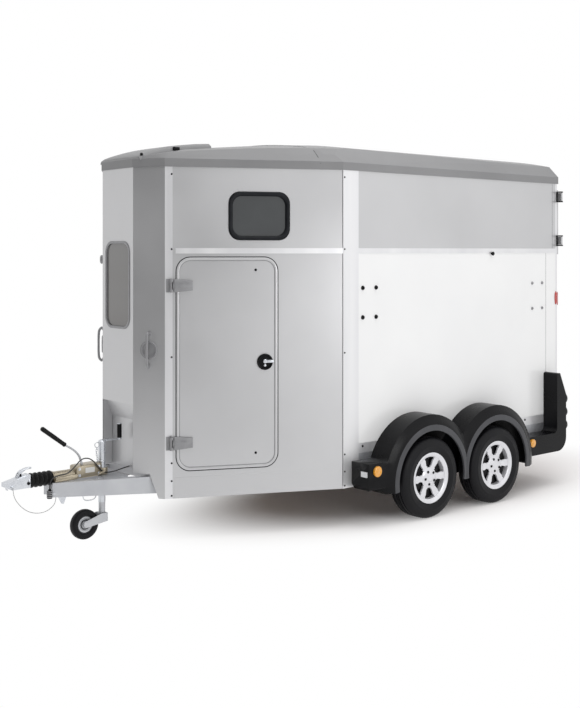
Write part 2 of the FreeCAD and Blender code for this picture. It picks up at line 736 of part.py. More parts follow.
# Jockey wheel: a fixed tube with its crank, and a trailing fork that swivels under it
keep("jockey_tube", cut("jockey_tube", fused("jockey_column", cylinder(
    "jockey_outer", "jockey_tube_radius", "jockey_x", 0, "jockey_tube_low", "Z",
    "jockey_tube_high - jockey_tube_low"), box(
        "jockey_crank", ("jockey_x - crank_reach", "jockey_x"), (-5, 5),
        ("jockey_tube_high - 2", "jockey_tube_high + 8")), cylinder(
            "jockey_handle", "grip_radius", "jockey_x - crank_reach", 0, "jockey_tube_high", "Z",
            "handle_length")), cylinder(
                "jockey_king_hole", "king_radius + king_play", "jockey_x", 0, "jockey_tube_low - 1", "Z",
                "king_length")))
FORK_SIDE = "jockey_wheel_wide / 2 + closing_gap"
FORK_TOP = "jockey_tube_low - king_play * 5"
fork_cheek = plate("fork_cheek", "XZ", FORK_SIDE, f"{FORK_SIDE} + roof_skin / 2", [
    ("jockey_x - jockey_tube_radius", "fork_low"), ("jockey_x - jockey_tube_radius", "fork_high"),
    ("jockey_x + jockey_tube_radius", "fork_high"),
    ("jockey_x + jockey_trail + fork_end", "jockey_radius + fork_end", "0.9 * fork_end"),
    ("jockey_x + jockey_trail + fork_end", "jockey_radius - fork_end", "0.9 * fork_end")])
fork_bridge = box("fork_bridge", ("jockey_x - jockey_tube_radius", "jockey_x + jockey_tube_radius"),
                  (f"-({FORK_SIDE})", FORK_SIDE), ("fork_low", "fork_high"))
fork_leg = cylinder("fork_leg", "jockey_tube_radius - 2", "jockey_x", 0, "fork_low", "Z",
                    f"{FORK_TOP} - fork_low")
fork_king = cylinder("fork_king", "king_radius", "jockey_x", 0, f"{FORK_TOP} - roof_skin", "Z",
                     "king_length")
fork_axle = cylinder("fork_axle", "king_radius", "jockey_x + jockey_trail", f"-({FORK_SIDE})",
                     "jockey_radius", "Y", f"2 * ({FORK_SIDE})")
keep("jockey_fork", fused("jockey_fork", fork_cheek, mirrored("fork_cheek_right", fork_cheek),
                          fork_bridge, fork_leg, fork_king, fork_axle))
HALF_WHEEL = "jockey_wheel_wide / 2"
jockey_rim = turned("jockey_rim", rectangle("king_radius + king_play", "jockey_rim_radius",
                                            f"-{HALF_WHEEL}", HALF_WHEEL))
keep("jockey_rim", place(jockey_rim, "jockey_x + jockey_trail", 0, "jockey_radius"))
jockey_tyre = turned("jockey_tyre", rectangle("jockey_rim_radius", "jockey_radius",
                                              f"-{HALF_WHEEL}", HALF_WHEEL))
keep("jockey_tyre", place(jockey_tyre, "jockey_x + jockey_trail", 0, "jockey_radius"))

# Wheels: six-spoke rims and their tyres, turned about Y and stood at the four hubs
HALF_TYRE = "tyre_width / 2"
FLANGE_IN = "tyre_width / 2 - 14"
rim_profile = [
    ("rim_radius - 10", f"-({FLANGE_IN}) - 7"), ("flange_radius", f"-({FLANGE_IN}) - 7"),
    ("flange_radius", f"-({FLANGE_IN})"), ("rim_radius", f"-({FLANGE_IN})"),
    ("rim_radius", FLANGE_IN), ("flange_radius", FLANGE_IN), ("flange_radius", f"{FLANGE_IN} + 7"),
    ("rim_radius - 10", f"{FLANGE_IN} + 7"), ("rim_radius - 10", "disc_out"),
    ("hub_radius", "disc_out"), ("hub_radius", "disc_out + 18"),
    ("stub_radius + king_play", "disc_out + 18"), ("stub_radius + king_play", "disc_out - 18"),
    ("rim_radius - 10", "disc_out - 18")]
tyre_profile = [
    ("rim_radius", f"-({FLANGE_IN})"), ("flange_radius", f"-({FLANGE_IN})"),
    ("flange_radius", f"-({HALF_TYRE})"), ("tyre_radius - tyre_shoulder", f"-({HALF_TYRE})"),
    ("tyre_radius", f"tyre_shoulder - {HALF_TYRE}"), ("tyre_radius", f"{HALF_TYRE} - tyre_shoulder"),
    ("tyre_radius - tyre_shoulder", HALF_TYRE), ("flange_radius", HALF_TYRE),
    ("flange_radius", FLANGE_IN), ("rim_radius", FLANGE_IN)]


def spoke_window(number):
    """One of the openings between a rim's spokes."""
    middle = math.radians(360 / size("spokes") * number)
    corners = []
    for radius, half_angle in (("window_in", 18), ("window_out", 22),
                               ("window_out", -22), ("window_in", -18)):
        angle = middle + math.radians(half_angle)
        reach = size(radius)
        corners.append((reach * math.sin(angle), reach * math.cos(angle)))
    return corners


for place_name, hub in (("front", "front_hub"), ("rear", "rear_hub")):
    rim = turned(f"rim_{place_name}_left", rim_profile)
    windows = sketch_on(rim, "XZ", [spoke_window(number) for number in range(int(size("spokes")))],
                        "-tyre_width")
    pocket = rim.newObject("PartDesign::Pocket", f"rim_{place_name}_windows")
    pocket.Profile = windows
    pocket.Length = size("2 * tyre_width")
    pocket.Reversed = True
    both_sides(f"rim_{place_name}", place(rim, hub, WHEEL_SIDE, "tyre_radius"))
    tyre = turned(f"tyre_{place_name}_left", tyre_profile)
    both_sides(f"tyre_{place_name}", place(tyre, hub, WHEEL_SIDE, "tyre_radius"))

# Axles: a square beam, drums and stub axles, with leaf springs under the main rails
for place_name, hub in (("front", "front_hub"), ("rear", "rear_hub")):
    beam = box(f"beam_{place_name}", (f"{hub} - axle_beam / 2", f"{hub} + axle_beam / 2"),
               (f"-{DRUM_SIDE}", DRUM_SIDE), ("tyre_radius - axle_beam / 2", "tyre_radius + axle_beam / 2"))
    drum = cylinder(f"drum_{place_name}", "drum_radius", hub, DRUM_SIDE, "tyre_radius", "Y",
                    f"{WHEEL_SIDE} + disc_out - 26 - {DRUM_SIDE}")
    stub = cylinder(f"stub_{place_name}", "stub_radius", hub, DRUM_SIDE, "tyre_radius", "Y",
                    f"{WHEEL_SIDE} + disc_out + 20 - {DRUM_SIDE}")
    seat, leaf_top = "tyre_radius + axle_beam / 2", "tyre_radius + axle_beam / 2 + spring_leaf"
    spring = plate(f"spring_{place_name}", "XZ", "rail_half - rail_wide / 2", "rail_half + rail_wide / 2", [
        (f"{hub} - spring_half", "rail_low"), (f"{hub} - spring_half", "rail_low - spring_end"),
        (f"{hub} - axle_beam", seat, "spring_arch"), (f"{hub} + axle_beam", seat, "spring_arch"),
        (f"{hub} + spring_half", "rail_low - spring_end"), (f"{hub} + spring_half", "rail_low"),
        (f"{hub} + spring_half - spring_shoe", "rail_low"), (f"{hub} + axle_beam", leaf_top, "spring_arch"),
        (f"{hub} - axle_beam", leaf_top, "spring_arch"), (f"{hub} - spring_half + spring_shoe", "rail_low")])
    end = fused(f"axle_end_{place_name}", drum, stub)
    keep(f"axle_{place_name}", fused(f"axle_{place_name}", beam,
                                     end, mirrored(f"axle_twin_{place_name}", end),
                                     spring, mirrored(f"spring_twin_{place_name}", spring)))

# Mudguards: one moulding over both wheels of a side, with the front lamp box in it
def hub_discs(name, radius, low, length):
    """A disc about each hub of the left side."""
    return [cylinder(f"{name}_{hub}", radius, hub, low, "tyre_radius", "Y", length)
            for hub in ("front_hub", "rear_hub")]




def hub_bowls(name, inset, low):
    """A shouldered bowl about each hub, inset from the moulding's outside."""
    shoulder = f"{GUARD_SIDE} - guard_shoulder - {inset} / 2"
    outline = [(0, low), (f"guard_radius - {inset}", low), (f"guard_radius - {inset}", shoulder),
               (f"guard_lip - {inset} / 2", f"{GUARD_SIDE} - {inset}"), (0, f"{GUARD_SIDE} - {inset}")]
    return [place(turned(f"{name}_{hub}", outline), hub, 0, "tyre_radius")
            for hub in ("front_hub", "rear_hub")]


LAMP_BOX_SIDE = f"({GUARD_SIDE} - lamp_box_in)"
lamp_box = plate("lamp_box", "YZ", "front_hub + guard_opening", "lamp_box_front", [
    ("half_width + pilaster_proud", "lamp_box_low + lamp_box_chamfer"),
    ("half_width + pilaster_proud + lamp_box_chamfer", "lamp_box_low"),
    (f"{LAMP_BOX_SIDE} - guard_skin", "lamp_box_low"), (LAMP_BOX_SIDE, "lamp_box_low + guard_skin"),
    (LAMP_BOX_SIDE, "lamp_box_high"), ("half_width + pilaster_proud", "lamp_box_high")])
guard_block = fused("guard_block", *hub_bowls("guard_bowl", 0, "half_width"), lamp_box)
guard_void = hub_bowls("guard_void", "guard_skin", "half_width + guard_skin")
guard_mouth = hub_discs("guard_mouth", "guard_opening", f"{GUARD_SIDE} - 2 * guard_skin", "half_width")
drum_room = hub_discs("drum_room", "drum_radius + 2 * guard_skin", "half_width - 1", "2 * guard_skin")
below_guard = box("below_guard", ("-rear_run", "lamp_box_front + wall"), (0, "2 * half_width"),
                  ("guard_low - 2 * guard_radius", "guard_low"))
paired("mudguards", cut("mudguard", guard_block, *guard_void, *guard_mouth, *drum_room, below_guard))

# Rear lamp pods behind the mudguards, and every lamp
POD_BACK = "-rear_run + pod_inset"
pod = plate("pod", "XZ", "half_width", POD_SIDE, [
    ("rear_hub - guard_opening", "pod_low"), (POD_BACK, "pod_low", "pod_round"), (POD_BACK, "pod_visor_low"),
    ("pod_face - pod_crest", "pod_high"), ("pod_face", "pod_high", "pod_crest / 2"),
    ("pod_face", "pod_shelf", "pod_crest"),
    ("rear_hub - guard_opening", "pod_shelf")])
pod_void = cylinder("pod_void", "guard_radius", "rear_hub", "half_width - 1", "tyre_radius", "Y",
                    "half_width")
paired("rear_pods", cut("rear_pod", pod, pod_void))
lamps = []
for name, height in (("top", "tail_top"), ("middle", "tail_middle"), ("bottom", "tail_bottom")):
    lamps.append(cylinder(f"tail_{name}", "lamp_radius", f"{POD_BACK} - lamp_deep",
                          f"(half_width + {POD_SIDE}) / 2", height, "X", "lamp_deep"))
lamps.append(plate("post_lamp", "YZ", "-rear_run - post_lamp_deep", "-rear_run", rectangle(
    "half_width - 2 - post_lamp_wide", "half_width - 2", "post_lamp_low", "post_lamp_high",
    "0.49 * post_lamp_wide")))
paired("tail_lamps", grouped("tail_lamps_left", *lamps))
paired("reflectors", grouped(
    "reflectors_left",
    cylinder("reflector_front", "lamp_radius", "reflector_front_x", LAMP_BOX_SIDE,
             "reflector_z", "Y", "guard_skin"),
    cylinder("reflector_rear", "lamp_radius - 5", "reflector_rear_x", POD_SIDE,
             "reflector_z - reflector_drop", "Y", "guard_skin")))
paired("marker_lamps", box("marker_lamp", ("lamp_box_front", "lamp_box_front + guard_skin"),
                           (f"{LAMP_BOX_SIDE} - 2 * lamp_radius", f"{LAMP_BOX_SIDE} - lamp_radius / 2"),
                           ("reflector_z - lamp_radius", "reflector_z")))

# Windows: rubber frames and tinted panes
frame_hole = rectangle("window_rear", "window_front", "window_low", "window_high", "window_radius")
frame_light = rectangle("window_rear + frame_wide", "window_front - frame_wide", "window_low + frame_wide",
                        "window_high - frame_wide", "window_radius - frame_wide")
side_frame = on_taper(plate("side_window_frame", "XZ", "-wall", "guard_skin / 2", frame_hole, frame_light))
NOSE_WINDOW = ("-nose_window_half", "nose_window_half", "nose_window_low", "nose_window_high")
NOSE_LIGHT = ("nose_frame - nose_window_half", "nose_window_half - nose_frame",
              "nose_window_low + nose_frame", "nose_window_high - nose_frame")
nose_frame = plate("nose_window_frame", "YZ", f"{NOSE_X} - wall", f"{NOSE_X} + pilaster_proud",
                   rectangle(*NOSE_WINDOW, "window_radius"),
                   rectangle(*NOSE_LIGHT, "window_radius - nose_frame"))
keep("window_frames", grouped("window_frames", side_frame, nose_frame))
side_pane = on_taper(plate("side_pane", "XZ", "-wall / 2 - 5", "-wall / 2", frame_light))
nose_pane = plate("nose_pane", "YZ", f"{NOSE_X} - wall / 2", f"{NOSE_X} - wall / 2 + 5", rectangle(
    *NOSE_LIGHT, "window_radius - nose_frame"))
keep("window_panes", grouped("window_panes", side_pane, nose_pane))


# Doors hung on outside pins, in the tapered wall's frame
def strap_hinges(name, heights):
    """Straps that turn with a leaf, the fixed halves on the corner post, and the pins' holes."""
    straps, fixed, holes = [], [], []
    for number, (low, high) in enumerate(heights):
        third = f"(({high}) - ({low})) / 3"
        middle = (f"({low}) + {third} + 1", f"({high}) - {third} - 1")
        straps += [
            box(f"{name}_pad{number}", ("strap_rear", "door_front - 6"), (0, "closing_gap"),
                (f"{low} + strap_taper", f"{high} - strap_taper")),
            plate(f"{name}_strap{number}", "XZ", "closing_gap", "closing_gap + strap_thick", [
                ("strap_rear", f"{low} + strap_taper"), ("door_pin - 17", low),
                ("door_pin - 17", high), ("strap_rear", f"{high} - strap_taper")]),
            box(f"{name}_neck{number}", ("door_pin - 17", "door_pin"),
                ("closing_gap", "closing_gap + strap_thick"), middle),
            cylinder(f"{name}_eye{number}", "knuckle", "door_pin", "door_pin_out", middle[0], "Z",
                     f"({middle[1]}) - ({middle[0]})")]
        fixed += [
            box(f"{name}_leaf{number}", ("door_pin + 4", "door_pin + 33"), (0, "closing_gap"), (low, high)),
            cylinder(f"{name}_pin{number}", "pin_radius", "door_pin", "door_pin_out", low, "Z",
                     f"({high}) - ({low})")]
        holes.append(cylinder(f"{name}_hole{number}", "pin_radius + king_play", "door_pin", "door_pin_out",
                              low, "Z", f"({high}) - ({low})"))
        for end, (start, stop) in (("low", (low, f"({low}) + {third}")),
                                   ("high", (f"({high}) - {third}", high))):
            fixed += [
                box(f"{name}_web{number}_{end}", ("door_pin", "door_pin + 12"),
                    ("closing_gap - 2", "door_pin_out"), (start, stop)),
                cylinder(f"{name}_knuckle{number}_{end}", "knuckle", "door_pin", "door_pin_out", start, "Z",
                         f"({stop}) - ({start})")]
    return straps, fixed, holes


door_leaf = plate("groom_door", "XZ", "-leaf", 0, rectangle(
    "door_rear", "door_front", "door_low", "door_high", "door_radius - closing_gap"))
keep("groom_door", on_taper(door_leaf))
straps, fixed, holes = strap_hinges("groom", (("strap_low", "strap_low + hinge_strap"),
                                              ("strap_high", "strap_high + hinge_strap")))
keep("groom_door_straps", on_taper(cut("groom_door_straps", fused("groom_straps_solid", *straps), *holes)))
groom_hinges = on_taper(fused("groom_door_hinges", *fixed))
lock_dish = cylinder("lock_dish", "lock_radius", "lock_along", 0, "lock_height", "Y", "guard_skin")
keep("groom_door_lock", on_taper(grouped("groom_door_lock", lock_dish)))
unload_door = plate("unload_door_leaf", "XZ", "-leaf", 0, rectangle(
    "ramp_rear", "door_front", "side_door_low", "side_door_high"))
straps, fixed, holes = strap_hinges("unload", (("side_door_low + wall", "side_door_low + wall + hinge_strap"),
                                        ("side_door_high - wall - hinge_strap", "side_door_high - wall")))
keep("unload_door", mirrored("unload_door", on_taper(cut(
    "unload_door_flat", fused("unload_door_solid", unload_door, *straps), *holes))))
unload_hinges = mirrored("unload_door_hinges", on_taper(fused("unload_hinges_flat", *fixed)))

# Front unloading ramp on the right: a leaf on two eyes that turn about a pin along the wall
unload_ramp = [plate("unload_ramp_leaf", "XZ", "-leaf", 0, rectangle(
    "ramp_rear", "door_front", "door_low", "door_high"))]
unload_eyes, unload_holes = [], []
for number, along in enumerate(("ramp_rear + 150", "door_front - 250")):
    unload_ramp += [
        box(f"unload_strap{number}", (along, f"{along} + eye_long"), (0, "strap_thick"),
            ("ramp_pin_z", "door_low + hinge_strap")),
        cylinder(f"unload_eye{number}", "eye_radius", along, "ramp_pin_out", "ramp_pin_z", "X", "eye_long")]
    pin = (along, "ramp_pin_out", "ramp_pin_z", "X", "eye_long")
    unload_holes.append(cylinder(f"unload_hole{number}", "pin_radius + king_play", *pin))
    unload_eyes.append(cylinder(f"unload_pin{number}", "pin_radius", f"{along} - 5", *pin[1:4],
                                "eye_long + 10"))
    for end, start in (("rear", f"{along} - 20"), ("front", f"{along} + eye_long + 2")):
        unload_eyes += [
            cylinder(f"unload_ear{number}_{end}", "eye_radius", start, "ramp_pin_out", "ramp_pin_z", "X", 18),
            box(f"unload_foot{number}_{end}", (start, f"{start} + 18"), (0, "ramp_pin_out"),
                ("ramp_pin_z - hinge_strap / 2", "ramp_pin_z"))]
keep("unload_ramp", mirrored("unload_ramp", on_taper(cut(
    "unload_ramp_flat", fused("unload_ramp_solid", *unload_ramp), *unload_holes))))
unload_ears = mirrored("unload_ramp_hinges", on_taper(fused("unload_eyes_flat", *unload_eyes)))
keep("front_hinges", grouped("front_hinges", groom_hinges, unload_hinges, unload_ears))

# Rear ramp: a leaf with battens on its outside, and eyes on the rear member
RAMP_BACK = "-rear_run - rear_gap - rear_leaf"
REAR_PIN = "-rear_run - rear_pin_out"
ramp_parts = [box("rear_ramp_leaf", (RAMP_BACK, "-rear_run - rear_gap"), (f"-{RAMP_HALF}", RAMP_HALF),
                  ("ramp_bottom", "ramp_top")),
              box("rear_ramp_batten", (f"{RAMP_BACK} - batten", RAMP_BACK), (f"-{RAMP_HALF}", RAMP_HALF),
                  ("ramp_top - hinge_strap", "ramp_top"))]
ramp_ears, ramp_holes = [], []
for number, along in enumerate(("-eye_side - eye_long", "eye_side")):
    ramp_parts += [
        cylinder(f"ramp_eye{number}", "eye_radius", REAR_PIN, along, "ramp_pin_height", "Y", "eye_long"),
        box(f"ramp_neck{number}", (f"{REAR_PIN} - 6", f"{REAR_PIN} + 6"), (along, f"{along} + eye_long"),
            ("ramp_pin_height", "ramp_bottom"))]
    ramp_holes.append(cylinder(f"ramp_hole{number}", "pin_radius + king_play", REAR_PIN, along,
                               "ramp_pin_height", "Y", "eye_long"))
    ramp_ears.append(cylinder(f"ramp_pin{number}", "pin_radius", REAR_PIN, f"{along} - 5",
                              "ramp_pin_height", "Y", "eye_long + 10"))
    for end, start in (("right", f"{along} - 20"), ("left", f"{along} + eye_long + 2")):
        ramp_ears.append(box(f"ramp_ear{number}_{end}", (f"{REAR_PIN} - 6", "-rear_run"),
                             (start, f"{start} + 18"), ("ramp_pin_height - 8", "ramp_pin_height + 8")))
keep("rear_ramp", cut("rear_ramp", fused("rear_ramp_solid", *ramp_parts), *ramp_holes))
rear_hinges = [fused("rear_ramp_hinges", *ramp_ears)]

# Rear top doors: leaves that turn right round to the sides on pins outside the corners
TOP_EDGE = f"{TOP_PIN_SIDE} - top_pin_reach"
top_leaf = [box("top_leaf", (RAMP_BACK, "-rear_run - rear_gap"), ("closing_gap / 2", TOP_EDGE),
                ("top_door_low", "top_door_high"))]
top_ears, top_holes = [], []
for number, low in enumerate(("top_hinge_low", "top_hinge_high")):
    high = f"({low}) + hinge_strap"
    top_leaf += [
        box(f"top_strap{number}", (f"{REAR_PIN} - 4", f"{REAR_PIN} + 4"), (TOP_EDGE, TOP_PIN_SIDE),
            (f"({low}) + 12", f"{high} - 12")),
        cylinder(f"top_eye{number}", "eye_radius", REAR_PIN, TOP_PIN_SIDE, f"({low}) + 12", "Z",
                 "hinge_strap - 24")]
    pin = (TOP_PIN_SIDE, low, "Z", "hinge_strap")
    top_holes.append(cylinder(f"top_hole{number}", "pin_radius + king_play", REAR_PIN, *pin))
    top_ears.append(cylinder(f"top_pin{number}", "pin_radius", REAR_PIN, *pin))
    top_ears.append(box(f"top_plate{number}", ("-rear_run", "-rear_run + strap_thick"),
                        ("half_width", "half_width + 8"), (low, high)))
    for end, start in (("low", low), ("high", f"{high} - 10")):
        top_ears.append(box(f"top_ear{number}_{end}", (f"{REAR_PIN} - 8", "-rear_run + strap_thick"),
                            ("half_width", f"{TOP_PIN_SIDE} + 8"), (start, f"({start}) + 10")))
both_sides("rear_top_door", cut("rear_top_door_left", fused("top_leaf_solid", *top_leaf), *top_holes))
top_hinges = fused("rear_top_hinges_left", *top_ears)
rear_hinges += [top_hinges, mirrored("rear_top_hinges_right", top_hinges)]
keep("rear_hinges", grouped("rear_hinges", *rear_hinges))

# Inside: a partition between the stalls, with breast and breeching bars
keep("partition", plate("partition", "XZ", "-partition_thick / 2", "partition_thick / 2", [
    ("breech_x + rail_wide", "floor_low + floor_thick"),
    ("breech_x + 2 * rail_wide", "floor_low + floor_thick"),
    ("breech_x + 2 * rail_wide", "partition_low"), ("breast_x - 2 * rail_wide", "partition_low"),
    ("breast_x - 2 * rail_wide", "floor_low + floor_thick"),
    ("breast_x - rail_wide", "floor_low + floor_thick"),
    ("breast_x - rail_wide", "partition_high", "partition_round"),
    ("breech_x + rail_wide", "partition_high", "partition_round")]))
keep("horse_bars", grouped("horse_bars", *[
    cylinder(f"bar_{name}", "bar_radius", x, f"-({SKIN_IN})", "bar_height", "Y", f"2 * ({SKIN_IN})")
    for name, x in (("breast", "breast_x"), ("breech", "breech_x"))]))

# Small fittings on the outside
paired("holdbacks", cylinder("holdback", "eye_radius", "holdback_x", "half_width + pilaster_proud",
                             "holdback_z", "Y", "handle_wide"))
handle_dish = cylinder("handle_dish", "dish_radius", 0, 0, 0, "Y", "strap_thick")
handle_bar = plate("handle_bar", "YZ", "-handle_wide / 2", "handle_wide / 2", [
    (0, "-handle_half"), ("handle_out", "-handle_half + handle_wide", "handle_wide"),
    ("handle_out", "handle_half - handle_wide", "handle_wide"), (0, "handle_half"),
    (0, "handle_half - handle_wide"),
    ("handle_out - strap_thick", "handle_half - 2 * handle_wide", "strap_thick"),
    ("handle_out - strap_thick", "-handle_half + 2 * handle_wide", "strap_thick"),
    (0, "-handle_half + handle_wide")])
handle = grouped("handle", handle_dish, handle_bar)
paired("grab_handles", place(handle, f"({CORNER_X} + {NOSE_X}) / 2", "(corner_half + nose_half) / 2",
                             "handle_z", UP, "-taper_angle - chamfer_turn"))
keep("plate_holder", box("plate_holder", (f"{RAMP_BACK} - 3", RAMP_BACK),
                         ("-plate_wide / 2", "plate_wide / 2"), ("plate_low", "plate_low + plate_high")))


def cord(name, radius, route):
    """A plain tube along straight runs joined by the largest tangent arcs they allow."""
    points = [V(*(size(value) for value in point)) for point in route]
    edges, start, smallest = [], points[0], math.inf
    for before, here, after in zip(points, points[1:], points[2:]):
        back, ahead = (before - here), (after - here)
        turn = math.pi - back.getAngle(ahead)
        reach = 0.45 * min(back.Length, ahead.Length)
        bend = reach / math.tan(turn / 2)
        smallest = min(smallest, bend)
        back.normalize()
        ahead.normalize()
        centre = here + (back + ahead).normalize() * (bend / math.cos(turn / 2))
        middle = centre + (here - centre).normalize() * bend
        edges.append(Part.LineSegment(start, here + back * reach).toShape())
        edges.append(Part.Arc(here + back * reach, middle, here + ahead * reach).toShape())
        start = here + ahead * reach
    edges.append(Part.LineSegment(start, points[-1]).toShape())
    path = Part.Wire(edges)
    section = Part.Wire(Part.Circle(points[0], points[1] - points[0], size(radius)).toShape())
    tube = doc.addObject("Part::Feature", name)
    tube.Shape = path.makePipeShell([section], True, False)
    share = tube.Shape.Volume / (math.pi * size(radius) ** 2 * path.Length)
    print(f"{name}: {path.Length:.0f} mm long, smallest radius {smallest:.0f} mm, volume share {share:.4f}")
    for point in points:
        print(f"    ({point.x / 1000:.4f}, {point.y / 1000:.4f}, {point.z / 1000:.4f}),")
    return keep(name, tube)


# Breakaway cable: from the head's lug, down in a slack loop, to the hook under the drawbar
# columns: share of the way from the rear hook to the front lug, sideways, height over the hook
cable_route = [("cable_front", "cable_side", "cable_high")]
for share, side, height in ((1.0, 0, 61), (0.942, 3, 15), (0.83, 8, -29), (0.68, 13, -65), (0.5, 15, -84),
                            (0.31, 13, -87), (0.135, 7, -71), (0.0, 0, -37)):
    cable_route.append((f"cable_rear + {share} * (cable_front - cable_rear)", f"cable_side + {side}",
                        f"cable_low + {height}"))
cable_route.append(("cable_rear", "cable_side", "cable_low"))
cord("breakaway_cable", "cable_radius", cable_route)

# Electric lead: out of the recess, over the drawbar in a raised bend, along the housing to its plug
# columns: share of the way from the recess to the plug, sideways, height over the rails
LEAD_START = f"({RECESS_BACK} + gland_long)"
lead_route = [(LEAD_START, "lead_side", "lead_start_z")]
for share, side, height in ((0.09, 1, 28), (0.22, 4, 14), (0.345, 8, 20), (0.42, 8, 76), (0.51, 8, 130),
                            (0.615, 8, 134), (0.70, 8, 84), (0.785, 8, 46), (0.90, 9, 46), (0.975, 10, 30),
                            (1.0, 10, -2)):
    lead_route.append((f"{LEAD_START} + {share} * (plug_x - {LEAD_START})", f"lead_side + {side}",
                       f"rail_low + {height}"))
lead_route.append(("plug_x", "plug_side", "plug_high"))
cord("electric_cable", "lead_radius", lead_route)
PLUG_LONG = "(plug_high - plug_low)"
plug_outline = [(0, 0), ("plug_radius", 0), ("plug_radius", f"{PLUG_LONG} - plug_ring"),
                ("lead_radius + 5", f"{PLUG_LONG} - plug_ring"), ("lead_radius + 5", PLUG_LONG),
                (0, PLUG_LONG)]
parked_plug = turned("parked_plug", plug_outline)
keep("parked_plug", place(parked_plug, "plug_x", "plug_side", "plug_low", V(1, 0, 0), 90))


doc.recompute()
for item in doc.Objects:
    if "Invalid" in item.State or "Error" in item.State:
        raise RuntimeError(f"{item.Name}: {item.State}")
os.makedirs("parts", exist_ok=True)
for name, piece in nodes.items():
    shape = piece.Shape
    if shape.isNull() or not shape.isValid() or not shape.Solids:
        raise RuntimeError(f"{name} has no valid solid")
    shape.exportStep(f"parts/{name}.step")
    reach = shape.BoundBox
    print(f"{name:20s} {len(shape.Solids):3d} solids  X {reach.XMin:8.1f} {reach.XMax:8.1f}"
          f"  Y {reach.YMin:8.1f} {reach.YMax:8.1f}  Z {reach.ZMin:7.1f} {reach.ZMax:7.1f}")
print(len(nodes), "nodes")
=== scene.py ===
# %% [markdown]
# # A twin-axle horse trailer, dressed for a studio picture
#
# The imported model gives every panel, hinge and wheel at its real size. This lesson adds what a
# camera sees: finishes for every surface, tyres with tread, cast wheels, screws, seals, lamps
# and cables. Everything is in metres, +X forwards to the coupling and +Z up.
#
# The first cell loads the model.

# %% Load the imported model
import bmesh
import bpy
import json
import math
from mathutils import Matrix, Vector
from mathutils.bvhtree import BVHTree


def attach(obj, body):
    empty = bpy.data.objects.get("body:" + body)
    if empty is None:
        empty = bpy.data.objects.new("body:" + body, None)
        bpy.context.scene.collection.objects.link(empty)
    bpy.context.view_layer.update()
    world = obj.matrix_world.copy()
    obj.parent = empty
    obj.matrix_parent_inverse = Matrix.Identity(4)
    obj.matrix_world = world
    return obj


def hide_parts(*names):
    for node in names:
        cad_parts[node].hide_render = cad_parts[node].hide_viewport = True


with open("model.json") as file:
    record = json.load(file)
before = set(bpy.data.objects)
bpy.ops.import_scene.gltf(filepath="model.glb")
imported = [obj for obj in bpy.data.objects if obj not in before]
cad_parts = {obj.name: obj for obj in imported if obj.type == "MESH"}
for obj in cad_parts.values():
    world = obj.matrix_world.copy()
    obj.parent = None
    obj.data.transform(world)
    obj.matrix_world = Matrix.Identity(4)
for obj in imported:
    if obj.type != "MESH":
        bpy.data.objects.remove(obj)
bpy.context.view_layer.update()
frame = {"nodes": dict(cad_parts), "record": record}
nodes = frame["nodes"]

# %% [markdown]
# ## The camera
#
# The picture was taken at about head height from the trailer's left front corner, with the
# lens level: upright edges stay upright. A level lens that still sees the floor needs its
# frame moved down, which is what the vertical shift does. The focal length is given for a
# 36 mm sensor along the taller side of the picture.

# %% Level camera at the left front
FOCAL_PIXELS = 1074.0
PICTURE_HIGH = 708.0
HORIZON_ROW = 250.7
lens = bpy.data.cameras.new("studio_camera")
lens.sensor_width = 36.0
lens.lens = FOCAL_PIXELS / PICTURE_HIGH * 36.0
lens.shift_y = (HORIZON_ROW - PICTURE_HIGH / 2) / PICTURE_HIGH
lens.clip_end = 200.0
camera = bpy.data.objects.new("studio_camera", lens)
camera.location = (5.272, 6.391, 1.93)
camera.rotation_euler = Vector((-0.6428, -0.766, 0)).to_track_quat("-Z", "Y").to_euler()
bpy.context.scene.collection.objects.link(camera)
bpy.context.scene.camera = camera
print("lens", round(lens.lens, 1), "mm, shift", round(lens.shift_y, 3))

# %% [markdown]
# ## Finishes
#
# A finish here is a small node tree: one texture breaks the colour up a little, the same
# texture moves the roughness, and a finer one lifts the surface as bump. Real paint, plastic
# and metal never reflect evenly, and it is that unevenness that tells the eye what they are.
# Patterns read Object coordinates, so they stay put on a piece when it turns on its hinge.

# %% Helpers for node trees
DRIFT_ENDS = (0.3, 0.7)


def node(tree, kind, inputs=(), **settings):
    """Add a node, set its fields, then fill or link its inputs."""
    made = tree.nodes.new(kind)
    for field, value in settings.items():
        setattr(made, field, value)
    for key, value in dict(inputs).items():
        if isinstance(value, bpy.types.NodeSocket):
            tree.links.new(value, made.inputs[key])
        else:
            made.inputs[key].default_value = value
    return made


def blank_finish(name, **sockets):
    """A material with the shader's plain values set; it returns the material, tree and shader."""
    material = bpy.data.materials.new(name)
    material.use_nodes = True
    shader = material.node_tree.nodes["Principled BSDF"]
    for socket, value in sockets.items():
        shader.inputs[socket.replace("_", " ")].default_value = value
    return material, material.node_tree, shader


def place_on(tree, source="Object", stretch=None):
    """Where a point lies on its piece, stretched if need be."""
    place = node(tree, "ShaderNodeTexCoord").outputs[source]
    if stretch:
        place = node(tree, "ShaderNodeMapping", {"Vector": place, "Scale": stretch}).outputs["Vector"]
    return place


def coloured(tree, shader, factor, dark, light, ends=(0, 1.0)):
    """Run the base colour from dark to light along a factor."""
    ramp = node(tree, "ShaderNodeValToRGB", {"Fac": factor})
    for stop, position, colour in zip(ramp.color_ramp.elements, ends, (dark, light)):
        stop.position, stop.color = position, (*colour, 1)
    tree.links.new(ramp.outputs["Color"], shader.inputs["Base Color"])


